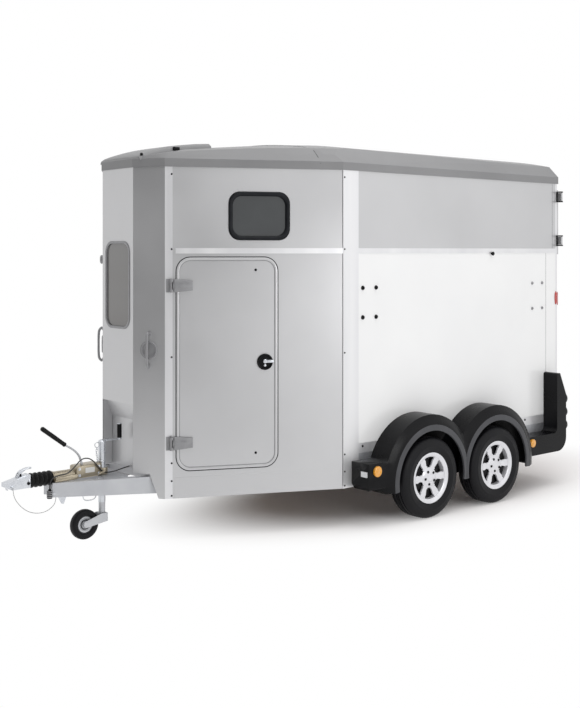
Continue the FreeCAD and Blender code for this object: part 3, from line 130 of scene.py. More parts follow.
def roughened(tree, shader, factor, rough, ends=(0, 1.0)):
    """Run the roughness between two values along a factor."""
    spread = node(tree, "ShaderNodeMapRange", {"Value": factor, "From Min": ends[0], "From Max": ends[1],
                                               "To Min": rough[0], "To Max": rough[1]})
    tree.links.new(spread.outputs["Result"], shader.inputs["Roughness"])


def bumped(tree, shader, height, strength, distance=0.001):
    """Lift the surface by a height."""
    bump = node(tree, "ShaderNodeBump", {"Height": height, "Strength": strength, "Distance": distance})
    tree.links.new(bump.outputs["Normal"], shader.inputs["Normal"])


def uneven(name, dark, light, scale, rough, grain=0.0, grain_scale=400.0, stretch=(1, 1, 1), **sockets):
    """A finish whose colour and roughness drift between two ends, with a fine grain as bump."""
    material, tree, shader = blank_finish(name, **sockets)
    place = place_on(tree, stretch=stretch)
    drift = node(tree, "ShaderNodeTexNoise",
                 {"Vector": place, "Scale": scale, "Detail": 4.0}).outputs["Fac"]
    coloured(tree, shader, drift, dark, light, DRIFT_ENDS)
    roughened(tree, shader, drift, rough, DRIFT_ENDS)
    if grain:
        fine = node(tree, "ShaderNodeTexNoise", {"Vector": place, "Scale": grain_scale, "Detail": 2.0})
        bumped(tree, shader, fine.outputs["Fac"], grain)
    return material


# %% [markdown]
# ### Sheet metal, mouldings and castings
#
# The silver panels are lacquered aluminium, so they are half metal and half paint: a sheen
# that follows the light, with a clear coat. The white lower panels are gloss board. The roof
# is a moulded shell, matt and slightly rippled. Extrusions carry fine lengthwise lines, which
# come from stretching the texture along the length.

# %% Body finishes
finishes = {}
# columns: key, material name, dark and light colour, scale of the drift, roughness, grain and its
# scale, and what else uneven takes
for key, name, dark, light, scale, rough, grain, grain_scale, sockets in (
        ("silver_panel", "lacquered_silver", (0.53, 0.53, 0.54), (0.58, 0.58, 0.59), 1.2, (0.3, 0.4), 0.04,
         900, {"Metallic": 0.55, "Coat_Weight": 0.3, "Coat_Roughness": 0.12}),
        ("white_panel", "gloss_white_board", (0.86, 0.86, 0.865), (0.9, 0.9, 0.9), 1.5, (0.16, 0.24), 0.02,
         60, {"Coat_Weight": 0.5, "Coat_Roughness": 0.06}),
        ("roof_shell", "moulded_roof", (0.23, 0.23, 0.235), (0.27, 0.27, 0.275), 2.0, (0.42, 0.54), 0.12,
         120, {"Specular_IOR_Level": 0.35}),
        ("aluminium_trim", "extruded_trim", (0.72, 0.72, 0.74), (0.8, 0.8, 0.81), 6.0, (0.28, 0.4), 0.06, 700,
         {"stretch": (1, 1, 0.05), "Metallic": 0.6}),
        ("zinc_housing", "yellow_zinc", (0.36, 0.315, 0.235), (0.41, 0.36, 0.275), 4.0, (0.3, 0.4), 0.05, 300,
         {"Metallic": 0.7}),
        ("black_plastic", "moulded_black", (0.002, 0.002, 0.0026), (0.0045, 0.0045, 0.0056), 8.0,
         (0.24, 0.34), 0.1, 500, {"Specular_IOR_Level": 0.16}),
        ("bellows_rubber", "bellows_rubber", (0.002, 0.002, 0.002), (0.005, 0.005, 0.005), 20.0, (0.3, 0.42),
         0.15, 400, {"Specular_IOR_Level": 0.18}),
        ("frame_rubber", "seal_rubber", (0.005, 0.006, 0.008), (0.012, 0.013, 0.016), 15.0,
         (0.4, 0.52), 0.12, 600, {"Specular_IOR_Level": 0.18}),
        ("tyre_rubber", "tyre_rubber", (0.0026, 0.0026, 0.0036), (0.0055, 0.0055, 0.0075), 14.0, (0.42, 0.58),
         0.2, 500, {"Specular_IOR_Level": 0.2}),
        ("rim_alloy", "silver_wheel_paint", (0.7, 0.7, 0.73), (0.78, 0.78, 0.81), 10.0, (0.3, 0.4), 0.05,
         1500, {"Metallic": 0.4, "Coat_Weight": 0.2}),
        ("grey_casting", "grey_casting", (0.27, 0.27, 0.28), (0.32, 0.32, 0.33), 30.0, (0.4, 0.52), 0.15, 700,
         {"Metallic": 0.35}),
        ("drawbar_steel", "drawbar_steel", (0.5, 0.51, 0.54), (0.58, 0.59, 0.61), 7.0, (0.38, 0.5), 0.08, 500,
         {"Metallic": 0.45}),
        ("bright_zinc", "bright_zinc", (0.58, 0.6, 0.64), (0.7, 0.72, 0.75), 18.0, (0.24, 0.36), 0.05, 600,
         {"Metallic": 0.8}),
        ("partition_pad", "padded_vinyl", (0.055, 0.058, 0.065), (0.085, 0.088, 0.095), 9.0,
         (0.42, 0.55), 0.4, 260, {}),
        ("blank_plate", "bare_plate", (0.74, 0.74, 0.72), (0.8, 0.8, 0.78), 12.0, (0.3, 0.4), 0.05, 400, {}),
        ("cord_black", "lead_sheath", (0.012, 0.012, 0.013), (0.028, 0.028, 0.029), 60.0,
         (0.35, 0.5), 0.2, 900, {}),
        ("lip_plastic", "grey_lip", (0.055, 0.056, 0.062), (0.075, 0.076, 0.082), 12.0, (0.45, 0.58), 0.2,
         500, {"Specular_IOR_Level": 0.3}),
        ("tinted_glass", "dark_acrylic", (0.02, 0.024, 0.027), (0.034, 0.039, 0.042), 3.0,
         (0.05, 0.09), 0, 400, {"Coat_Weight": 0.6, "Coat_Roughness": 0.04}),
        # the nose pane's colour drifts with height only, between a dark warm grey and a lighter grey: a
        # painted reflection
        ("warm_acrylic", "warm_acrylic", (0.155, 0.145, 0.14), (0.215, 0.215, 0.212), 1.1,
         (0.1, 0.16), 0, 400, {"stretch": (0, 0, 1), "Coat_Weight": 0.4, "Coat_Roughness": 0.05})):
    finishes[key] = uneven(name, dark, light, scale, rough, grain, grain_scale, **sockets)
print(len(finishes), "even finishes")

# %% [markdown]
# Hot-dip galvanising freezes into crystals, each of which reflects its own way. A Voronoi
# texture gives every crystal a random value, which moves both the colour and the roughness.

# %% Galvanised steel


def crystals(name, dark, light, size, rough):
    """Zinc crystals of a given size in metres."""
    material, tree, shader = blank_finish(name, Metallic=0.9)
    cells = node(tree, "ShaderNodeTexVoronoi", {"Vector": place_on(tree), "Scale": 1.0 / size,
                                                "Randomness": 1.0})
    coloured(tree, shader, cells.outputs["Color"], dark, light)
    roughened(tree, shader, cells.outputs["Color"], rough)
    return material


finishes["galvanised"] = crystals("galvanised_steel", (0.52, 0.53, 0.56), (0.6, 0.61, 0.64), 0.01,
                                  (0.34, 0.46))
print("crystals of 10 mm")

# %% [markdown]
# ### Lenses, plywood and wire
#
# Lamp lenses are clear plastic over a reflector with a fine grid moulded inside, so they get
# bump from three crossed waves. The floor is plywood: a wave texture bent by noise gives the
# grain. The breakaway cable is twisted wire, whose strands follow the cable's own UV map.

# %% Clear and patterned finishes


def waves(tree, place, direction, **inputs):
    """Bands along one direction."""
    inputs = {"Vector": place, **inputs}
    return node(tree, "ShaderNodeTexWave", inputs, bands_direction=direction).outputs["Fac"]


def lens_finish(name, colour, pitch=0.006):
    """Coloured plastic with a moulded grid behind a smooth face."""
    material, tree, shader = blank_finish(name, Roughness=0.12, Coat_Weight=1.0, Coat_Roughness=0.03)
    place = place_on(tree)
    crossed, *others = [waves(tree, place, along, Scale=0.314 / pitch) for along in "XYZ"]
    for other in others:
        crossed = node(tree, "ShaderNodeMath", {0: crossed, 1: other}, operation="ADD").outputs[0]
    third = node(tree, "ShaderNodeMath", {0: crossed, 1: 0.33}, operation="MULTIPLY").outputs[0]
    coloured(tree, shader, third, [0.72 * part for part in colour], colour)
    bumped(tree, shader, crossed, 0.25)
    return material


def plywood(name):
    """Brown faced ply with bent grain lines."""
    material, tree, shader = blank_finish(name, Roughness=0.6)
    wave = waves(tree, place_on(tree, stretch=(0.25, 1, 1)), "Y", Scale=9.0, Distortion=6.0, Detail=3.0)
    coloured(tree, shader, wave, (0.13, 0.085, 0.05), (0.22, 0.155, 0.095))
    bumped(tree, shader, wave, 0.1)
    return material


def twisted_wire(name):
    """Strands that run slantwise round a tube with its own UV map."""
    material, tree, shader = blank_finish(name, Metallic=0.8, Roughness=0.35)
    wave = waves(tree, place_on(tree, "UV", (40, 6, 1)), "DIAGONAL", Scale=1.0)
    coloured(tree, shader, wave, (0.16, 0.16, 0.16), (0.52, 0.52, 0.52))
    bumped(tree, shader, wave, 0.5, 0.0005)
    return material


for key, colour in (("red_lens", (0.5, 0.02, 0.015)), ("amber_lens", (0.95, 0.42, 0.03)),
                    ("clear_lens", (0.85, 0.86, 0.88))):
    finishes[key] = lens_finish(key, colour)
finishes["floor_board"] = plywood("brown_ply")
finishes["cable_steel"] = twisted_wire("cable_strands")
print(len(finishes), "finishes with the patterned ones")

# %% [markdown]
# Each node already has a material slot with a plain colour. The record says which kind of
# finish it takes, so one loop dresses them all, and a short table names the exceptions.

# %% Dress every node
for part in frame["record"]["subparts"]:
    materials = nodes[part["node"]].data.materials
    materials.clear()
    materials.append(finishes[part["material_slot"]])
for key, names in (("bright_zinc", ("coupling_head", "jockey_tube")),
                   ("drawbar_steel", ("drawbar", "jockey_fork")),
                   ("grey_casting", ("groom_door_straps", "front_hinges")),
                   ("aluminium_trim", ("pilasters", "corner_posts")), ("roof_shell", ("roof_vent",))):
    for name in names:
        nodes[name].data.materials[0] = finishes[key]
print(len(finishes), "finishes on", len(nodes), "nodes")

# %% [markdown]
# ## The two cables
#
# A thin steel breakaway cable hangs in a slack loop under the coupling, and a black electric
# lead runs from the nose recess over the drawbar to its parked plug. Each is one smooth curve
# that follows its route. The order of a NURBS spline and its end points are set
# after the points are added, because a new spline has too few points to keep them.

# %% Cable routes
BREAKAWAY_ROUTE = [
    (2.2400, 0.0460, 0.4260), (2.2400, 0.0460, 0.3880), (2.2226, 0.0490, 0.3420), (2.1890, 0.0540, 0.2980),
    (2.1440, 0.0590, 0.2620), (2.0900, 0.0610, 0.2430), (2.0330, 0.0590, 0.2400), (1.9805, 0.0530, 0.2560),
    (1.9400, 0.0460, 0.2900), (1.9400, 0.0460, 0.3270)]
LEAD_ROUTE = [
    (1.3871, 0.0500, 0.4560), (1.4415, 0.0510, 0.4480), (1.5202, 0.0540, 0.4340), (1.5958, 0.0580, 0.4400),
    (1.6412, 0.0580, 0.4960), (1.6956, 0.0580, 0.5500), (1.7591, 0.0580, 0.5540), (1.8105, 0.0580, 0.5040),
    (1.8619, 0.0580, 0.4660), (1.9315, 0.0590, 0.4660), (1.9769, 0.0600, 0.4500), (1.9920, 0.0600, 0.4180),
    (1.9920, 0.0600, 0.3850)]


def cable(name, route, radius, slot, stands_for):
    """One smooth curve along a route, with a round section, in place of a node."""
    curve = bpy.data.curves.new(name, "CURVE")
    curve.dimensions = "3D"
    curve.bevel_depth = radius
    curve.bevel_resolution = 4
    curve.resolution_u = 12
    curve.use_fill_caps = True
    spline = curve.splines.new("NURBS")
    spline.points.add(len(route) - 1)
    for point, where in zip(spline.points, route):
        point.co = (*where, 1)
    spline.order_u = 3
    spline.use_endpoint_u = True
    curve.materials.append(finishes[slot])
    made = bpy.data.objects.new(name, curve)
    bpy.context.scene.collection.objects.link(made)
    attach(made, "trailer")
    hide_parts(stands_for)
    return made


breakaway = cable("breakaway_wire", BREAKAWAY_ROUTE, 0.002, "cable_steel", "breakaway_cable")
lead = cable("electric_lead", LEAD_ROUTE, 0.004, "cord_black", "electric_cable")
print("cables through", len(BREAKAWAY_ROUTE), "and", len(LEAD_ROUTE), "points")

# %% [markdown]
# ## Shapes by code
#
# Most added pieces are one of five forms: a profile turned round an axle, an outline extruded
# and bevelled, a section run round a frame, a round bar bent along a path, or a small template
# repeated along a list of spots. One short helper makes each of them. Every helper leaves the
# object at the origin, with its place in its mesh, and turns all faces outwards.

# %% Mesh helpers
# a finish that isn't a slot of the record goes by the slot that is nearest
new_pieces = []


def keep(name, shape, look, **terms):
    """Clean a bmesh and make it a piece; the terms are those of dress."""
    bmesh.ops.remove_doubles(shape, verts=shape.verts, dist=1e-6)
    bmesh.ops.recalc_face_normals(shape, faces=shape.faces)
    mesh = bpy.data.meshes.new(name)
    shape.to_mesh(mesh)
    shape.free()
    return dress(name, mesh, look, **terms)


def dress(name, mesh, look, body="trailer", slot=None, smooth=35.0, stands_for=None):
    """Give a mesh its finish, its body and the node that it stands for."""
    mesh.materials.clear()
    mesh.materials.append(finishes[look])
    mesh.shade_smooth()
    mesh.set_sharp_from_angle(angle=math.radians(smooth))
    made = bpy.data.objects.new(name, mesh)
    bpy.context.scene.collection.objects.link(made)
    if body:
        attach(made, body)
        new_pieces.append(made)
    if stands_for:
        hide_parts(stands_for)
    return made


def tally(label):
    """Say how many pieces were made since the last tally."""
    faces = sum(len(piece.data.polygons) for piece in new_pieces)
    print(f"{label}: {len(new_pieces)} pieces, {faces} faces")
    new_pieces.clear()


def turned(rings, centre=(0, 0, 0), axis="Z", steps=96):
    """A bmesh of a closed outline of (radius, along) points turned about an axis through a centre."""
    shape = bmesh.new()
    along = {"X": Vector((1, 0, 0)), "Y": Vector((0, 1, 0)), "Z": Vector((0, 0, 1))}[axis]
    side = along.orthogonal().normalized()
    other = along.cross(side)
    loops = []
    for step in range(steps):
        angle = 2 * math.pi * step / steps
        out = side * math.cos(angle) + other * math.sin(angle)
        loops.append([shape.verts.new(Vector(centre) + out * radius + along * reach)
                      for radius, reach in rings])
    for step in range(steps):
        here, following = loops[step], loops[(step + 1) % steps]
        for index in range(len(rings)):
            up = (index + 1) % len(rings)
            corners = [here[index], here[up], following[up], following[index]]
            distinct = list(dict.fromkeys(corners))
            if len(distinct) > 2:
                shape.faces.new(distinct)
    bmesh.ops.remove_doubles(shape, verts=shape.verts, dist=1e-7)
    bmesh.ops.dissolve_degenerate(shape, edges=shape.edges, dist=1e-7)
    return shape


def prism(outline, thick, place, bevel=0.0, segments=2):
    """A bmesh of a flat outline given a thickness along its own Z, bevelled, then placed."""
    shape = bmesh.new()
    low = [shape.verts.new((x, y, -thick / 2)) for x, y in outline]
    face = shape.faces.new(low)
    lifted = bmesh.ops.extrude_face_region(shape, geom=[face])
    top = [item for item in lifted["geom"] if isinstance(item, bmesh.types.BMVert)]
    bmesh.ops.translate(shape, verts=top, vec=(0, 0, thick))
    if bevel:
        bmesh.ops.bevel(shape, geom=list(shape.edges), offset=bevel, segments=segments, profile=0.5,
                        affect="EDGES", clamp_overlap=True)
    bmesh.ops.recalc_face_normals(shape, faces=shape.faces)
    return set_at(shape, place)


def rounded(x_low, x_high, y_low, y_high, radius, steps=8):
    """The points of a rectangle with round corners, anticlockwise."""
    points = []
    right, left, top, bottom = x_high - radius, x_low + radius, y_high - radius, y_low + radius
    for x, y, start in ((right, bottom, -90), (right, top, 0), (left, top, 90), (left, bottom, 180)):
        for step in range(steps + 1):
            angle = math.radians(start + 90 * step / steps)
            points.append((x + radius * math.cos(angle), y + radius * math.sin(angle)))
    return points


def moulding(sides, radius, profile, place, steps=8):
    """A frame of one section round a rounded rectangle: sides are low and high x, low and high y."""
    x_low, x_high, y_low, y_high = sides
    shape = bmesh.new()
    loops = []
    for inset, height in profile:
        corner = max(radius - inset, 0.0005)
        outline = rounded(x_low + inset, x_high - inset, y_low + inset, y_high - inset, corner, steps)
        loops.append([shape.verts.new((x, y, height)) for x, y in outline])
    joined(shape, loops + loops[:1])
    bmesh.ops.recalc_face_normals(shape, faces=shape.faces)
    return set_at(shape, place)


def tube(points, radius, sides=12, bends=6):
    """A round bar along a smoothed path; the radius may be a list with one value per point."""
    radii = radius if isinstance(radius, (list, tuple)) else [radius] * len(points)
    path, widths = [], []
    knots = [Vector(point) for point in points]
    for index in range(len(knots) - 1):
        before = knots[max(index - 1, 0)]
        start, end = knots[index], knots[index + 1]
        after = knots[min(index + 2, len(knots) - 1)]
        for step in range(bends):
            along = step / bends
            path.append(0.5 * ((2 * start) + (end - before) * along
                               + (2 * before - 5 * start + 4 * end - after) * along ** 2
                               + (3 * start - before - 3 * end + after) * along ** 3))
            widths.append(radii[index] + (radii[index + 1] - radii[index]) * along)
    path.append(knots[-1])
    widths.append(radii[-1])
    shape = bmesh.new()
    across = (path[1] - path[0]).orthogonal().normalized()
    loops = []
    for index, (spot, width) in enumerate(zip(path, widths)):
        ahead = (path[min(index + 1, len(path) - 1)] - path[max(index - 1, 0)]).normalized()
        across = (across - ahead * across.dot(ahead)).normalized()
        other = ahead.cross(across)
        loops.append([shape.verts.new(spot + width * (across * math.cos(2 * math.pi * side / sides)
                                                      + other * math.sin(2 * math.pi * side / sides)))
                      for side in range(sides)])
    joined(shape, loops)
    shape.faces.new(list(reversed(loops[0])))
    shape.faces.new(loops[-1])
    bmesh.ops.recalc_face_normals(shape, faces=shape.faces)
    return shape


def set_at(shape, place):
    """Move a bmesh by a matrix and hand it on."""
    bmesh.ops.transform(shape, matrix=place, verts=shape.verts)
    return shape


def joined(shape, rows, closed=True):
    """Faces between rows of vertices; each row is a closed loop or an open line."""
    for here, following in zip(rows, rows[1:]):
        for spot in range(len(here) if closed else len(here) - 1):
            onward = (spot + 1) % len(here)
            shape.faces.new((here[spot], here[onward], following[onward], following[spot]))


def merged(*shapes):
    """Several bmeshes made one."""
    whole = bmesh.new()
    for shape in shapes:
        passing = bpy.data.meshes.new("passing")
        shape.to_mesh(passing)
        shape.free()
        whole.from_mesh(passing)
        bpy.data.meshes.remove(passing)
    return whole


# %% [markdown]
# The front side walls stand at a slant. A frame of their own makes it easy to place things
# on them: distance along the wall from its rear edge, distance out from its face, and height.

# %% Frames on the body's faces
UP = Vector((0, 0, 1))
HALF_WIDTH = 0.925
TAPER = math.radians(25.3)
ALONG_WALL = Vector((math.cos(TAPER), -math.sin(TAPER), 0))
OUT_OF_WALL = Vector((math.sin(TAPER), math.cos(TAPER), 0))
WALL_START = Vector((0.206, HALF_WIDTH, 0))


def on_wall(along, out, height):
    """A point on the left slanted wall."""
    return WALL_START + ALONG_WALL * along + OUT_OF_WALL * out + UP * height


def facing(origin, right, up):
    """A matrix whose X runs right, Y up and Z out of a face."""
    right, up = Vector(right).normalized(), Vector(up).normalized()
    turn = Matrix((right, up, right.cross(up))).transposed().to_4x4()
    return Matrix.Translation(Vector(origin)) @ turn


def on_face(out):
    """A place on the slanted wall's own plane, a distance out from it."""
    return WALL_FACE @ Matrix.Translation((0, 0, out))


WALL_FACE = facing(on_wall(0, 0, 0), -ALONG_WALL, UP)
SIDEWAYS = facing((0, 0, 0), (1, 0, 0), UP)
print("the slanted wall runs from", tuple(round(value, 3) for value in on_wall(0, 0, 0)), "to",
      tuple(round(value, 3) for value in on_wall(1.238, 0, 0)))

# %% [markdown]
# ## One tree that repeats a template
#
# Screws, tread blocks, wheel nuts and chain links are all the same idea: one small shape set
# down at many spots, each with its own turn. A Geometry Nodes tree does that. It reads the
# spots as a cloud of points that carry a turn, puts the template on each, makes the copies
# real and gives them their finish.

# %% Build the repeating tree


def repeating_tree():
    """Points with a turn become copies of a template."""
    tree = bpy.data.node_groups.new("repeat_template", "GeometryNodeTree")
    for name, kind in (("Spots", "NodeSocketGeometry"), ("Template", "NodeSocketObject"),
                       ("Size", "NodeSocketFloat"), ("Finish", "NodeSocketMaterial")):
        tree.interface.new_socket(name=name, in_out="INPUT", socket_type=kind)
    tree.interface.new_socket(name="Copies", in_out="OUTPUT", socket_type="NodeSocketGeometry")
    given = node(tree, "NodeGroupInput").outputs
    points = node(tree, "GeometryNodeMeshToPoints", {"Mesh": given["Spots"]}).outputs["Points"]
    shape = node(tree, "GeometryNodeObjectInfo", {"Object": given["Template"]}).outputs["Geometry"]
    turn = node(tree, "GeometryNodeInputNamedAttribute", {"Name": "turn"}, data_type="FLOAT_VECTOR")
    turn = node(tree, "FunctionNodeEulerToRotation",
                {"Euler": turn.outputs["Attribute"]}).outputs["Rotation"]
    copies = node(tree, "GeometryNodeInstanceOnPoints", {"Points": points, "Instance": shape,
                                                         "Rotation": turn, "Scale": given["Size"]})
    real = node(tree, "GeometryNodeRealizeInstances", {"Geometry": copies.outputs["Instances"]})
    final = node(tree, "GeometryNodeSetMaterial", {"Geometry": real.outputs["Geometry"],
                                                   "Material": given["Finish"]})
    node(tree, "NodeGroupOutput", {"Copies": final.outputs["Geometry"]})
    return tree


REPEAT = repeating_tree()


def repeated(name, template, spots, look, size=1.0, **terms):
    """Set a template bmesh down at (place, out, up) spots and keep the result as plain mesh."""
    shape = bpy.data.meshes.new(f"{name}_template")
    template.to_mesh(shape)
    template.free()
    pattern = bpy.data.objects.new(f"{name}_template", shape)
    cloud = bpy.data.meshes.new(f"{name}_spots")
    cloud.from_pydata([tuple(place) for place, out, up in spots], [], [])
    turn = cloud.attributes.new("turn", "FLOAT_VECTOR", "POINT")
    for index, (place, out, up) in enumerate(spots):
        out = Vector(out).normalized()
        across = Vector(up).cross(out).normalized()
        turn.data[index].vector = Matrix((across, out.cross(across), out)).transposed().to_euler()
    holder = bpy.data.objects.new(f"{name}_holder", cloud)
    bpy.context.scene.collection.objects.link(holder)
    maker = holder.modifiers.new("repeat", "NODES")
    maker.node_group = REPEAT
    sockets = {item.name: item.identifier for item in REPEAT.interface.items_tree if item.in_out == "INPUT"}
    maker[sockets["Template"]] = pattern
    maker[sockets["Size"]] = size
    maker[sockets["Finish"]] = finishes[look]
    ready = holder.evaluated_get(bpy.context.evaluated_depsgraph_get())
    mesh = bpy.data.meshes.new_from_object(ready)
    mesh.name = name
    bpy.data.objects.remove(holder)
    bpy.data.objects.remove(pattern)
    print(name, len(spots), "copies,", len(mesh.polygons), "faces")
    return dress(name, mesh, look, **terms)


# %% [markdown]
# ## Screws
#
# The panels are held by dark round-headed screws down the posts and along the floor strip,
# and by larger domed bolts, black at the front and grey at the rear, where the inner bars are
# fixed. A domed head is a few turned rings; a small hollow in the middle takes the driver.

# %% Screw heads and bolt heads


def screw_head(radius, high):
    """A domed head with a hollow for the driver."""
    rings = [(radius, 0), (radius, 0.25 * high), (0.8 * radius, 0.75 * high), (0.45 * radius, high),
             (0.3 * radius, high), (0.25 * radius, 0.55 * high), (0, 0.5 * high), (0, 0)]
    return turned(rings, steps=14)


dark_screws, strip_screws, dark_bolts, bolts = [], [], [], []
for side in (1, -1):
    mirror = Vector((1, side, 1))
    for height in (0.3, 0.398, 0.517, 1.222, 1.941, 2.44):
        dark_screws.append(((0.192, side * 0.928, height), (0, side, 0), UP))
        dark_screws.append((on_wall(1.193, 0.0, height) * mirror, OUT_OF_WALL * mirror, UP))
    for x in (0.017, -0.35, -0.85, -1.35, -1.81):
        strip_screws.append(((x, side * HALF_WIDTH, 0.554), (0, side, 0), UP))
    for row, spots in ((dark_bolts, ((0.017, 1.668), (0.017, 1.46), (-0.114, 1.668), (-0.114, 1.46))),
                       (bolts, ((-1.904, 1.665), (-1.904, 1.458), (-2.035, 1.665), (-2.035, 1.458)))):
        row += [((x, side * HALF_WIDTH, height), (0, side, 0), UP) for x, height in spots]
repeated("post_screws", screw_head(0.0065, 0.004), dark_screws, "black_plastic")
repeated("strip_screws", screw_head(0.009, 0.005), strip_screws, "black_plastic")
repeated("front_bar_bolts", screw_head(0.016, 0.012), dark_bolts, "black_plastic")
repeated("rear_bar_bolts", screw_head(0.013, 0.01), bolts, "grey_casting")
door_screws = [(on_wall(0.62, 0, height), OUT_OF_WALL, UP) for height in (1.8, 0.56)]
repeated("door_screws", screw_head(0.009, 0.005), door_screws, "black_plastic", body="groom_door")

# %% [markdown]
# ## Tyres
#
# A trailer tyre is a torus with a flat tread. The carcass is one turned profile, with grooves
# round the tread, a shoulder, fine rings on the sidewall and a rim guard. The tread blocks are
# a template repeated round the shoulder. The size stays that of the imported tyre.

# %% Tyre carcass and tread
TYRE_RADIUS = 0.292
HUB_OUT = 1.043
TREAD_BLOCKS, BLOCK_RADIUS, BLOCK_REACH, BLOCK_TILT = 84, 0.2846, 0.056, 0.55
AXLES = (("front", -0.483), ("rear", -1.217))
HUBS = {f"{name}_{hand}": (x, side * HUB_OUT) for name, x in AXLES
        for hand, side in (("left", 1), ("right", -1))}
half_tyre = [  # radius, half width
    (0.1655, 0.066), (0.181, 0.0685), (0.1835, 0.074), (0.187, 0.0755), (0.192, 0.0745), (0.2, 0.078),
    (0.214, 0.081), (0.226, 0.082), (0.228, 0.0825), (0.231, 0.0825), (0.233, 0.0815), (0.246, 0.0805),
    (0.258, 0.0785), (0.268, 0.0752), (0.277, 0.0705), (0.2835, 0.0645), (0.2875, 0.0575), (0.2895, 0.0505),
    (0.2905, 0.042), (0.2835, 0.041), (0.2835, 0.034), (0.2912, 0.033), (0.2918, 0.013), (0.284, 0.012),
    (0.284, 0.005), (0.292, 0.004)]


def both_halves(half):
    """The rings of one half, and their mirror image."""
    return [(radius, -reach) for radius, reach in half] + half[::-1]


def tread_block():
    """A shoulder block, standing proud of the tread by a few millimetres."""
    outline = [(-0.0055, -0.01), (0.0045, -0.012), (0.0055, 0.01), (-0.0045, 0.012)]
    return prism(outline, 0.004, Matrix.Identity(4), bevel=0.0006, segments=1)


for name, (hub_x, hub_y) in HUBS.items():
    carcass = turned(both_halves(half_tyre), (hub_x, hub_y, TYRE_RADIUS), "Y", steps=120)
    blocks = []
    for row, side in enumerate((1, -1)):
        for number in range(TREAD_BLOCKS):
            angle = 2 * math.pi * (number + 0.5 * row) / TREAD_BLOCKS
            out = Vector((math.sin(angle), 0, math.cos(angle)))
            blocks.append((Vector((hub_x, hub_y + side * BLOCK_REACH, TYRE_RADIUS)) + out * BLOCK_RADIUS,
                           out + Vector((0, side * BLOCK_TILT, 0)), (0, 1, 0)))
    tread = repeated(f"tread_blocks_{name}", tread_block(), blocks, "tyre_rubber", body=None)
    carcass.from_mesh(tread.data)
    bpy.data.objects.remove(tread)
    keep(f"tyre_with_tread_{name}", carcass, "tyre_rubber", body=f"wheel_{name}", stands_for=f"tyre_{name}")
tally("tyres")

# %% [markdown]
# ## Cast wheels
#
# The wheel is a dished disc with six broad flat spokes and six dark openings, a raised rim
# edge and a domed cap over the hub. Each spoke is cut out of the disc by building the disc as
# a grid of wedges and leaving the openings' cells out; the cells' edges are then given depth.

# %% Wheel discs
SPOKES, DISC_STEPS, DISC_THICK = 6, 144, 0.012
DISC_RINGS = (  # radius, distance out from the hub's middle, half of the opening as a share of a spoke's turn
    (0.03, 0.064, 0), (0.052, 0.062, 0), (0.062, 0.056, 0), (0.074, 0.05, 0.22), (0.086, 0.05, 0.28),
    (0.106, 0.052, 0.31), (0.132, 0.056, 0.33), (0.157, 0.06, 0.34), (0.161, 0.061, 0))


def spoke_disc(hub_x, hub_y, side):
    """A dished disc with six openings, as a grid turned round the axle."""
    shape = bmesh.new()
    turns = [2 * math.pi * step / DISC_STEPS for step in range(DISC_STEPS)]
    grid = [[shape.verts.new((hub_x + radius * math.sin(turn), hub_y + side * out,
                              TYRE_RADIUS + radius * math.cos(turn))) for turn in turns]
            for radius, out, half_open in DISC_RINGS]
    for ring, (radius, out, half_open) in enumerate(DISC_RINGS[:-1]):
        for step in range(DISC_STEPS):
            turn = (step + 0.5) / (DISC_STEPS / SPOKES) % 1.0
            if min(turn, 1.0 - turn) < half_open:
                continue
            following = (step + 1) % DISC_STEPS
            shape.faces.new((grid[ring][step], grid[ring][following], grid[ring + 1][following],
                             grid[ring + 1][step]))
    loose = [vert for vert in shape.verts if not vert.link_faces]
    bmesh.ops.delete(shape, geom=loose, context="VERTS")
    bmesh.ops.recalc_face_normals(shape, faces=shape.faces)
    bmesh.ops.solidify(shape, geom=list(shape.faces), thickness=DISC_THICK)
    return shape


NUTS, NUT_CIRCLE, NUT_OUT = 5, 0.047, 0.06
WHEEL_PARTS = {  # steps round, then rings of radius and distance out from the hub's middle
    "barrel": (96, [(0.152, 0.062), (0.158, 0.067), (0.165, 0.069), (0.172, 0.073), (0.1795, 0.0745),
                    (0.1825, 0.0735), (0.1815, 0.0685), (0.1655, 0.0665), (0.162, 0.05), (0.158, 0.01),
                    (0.157, -0.05), (0.1655, -0.0665), (0.181, -0.0685), (0.181, -0.0745), (0.156, -0.0735),
                    (0.15, -0.05), (0.15, 0.04)]),
    "back": (48, [(0.0205, 0.03), (0.15, 0.02), (0.15, 0.026), (0.0205, 0.04)]),
    "hub": (48, [(0.0205, 0.024), (0.058, 0.024), (0.06, 0.058), (0.034, 0.062), (0.0205, 0.062)]),
    "cap": (40, [(0, 0.0665), (0.02, 0.0662), (0.027, 0.0645), (0.03, 0.06), (0.028, 0.058), (0, 0.058)]),
    "groove": (48, [(0.0302, 0.0618), (0.0335, 0.0618), (0.0335, 0.0636), (0.0302, 0.0636)])}
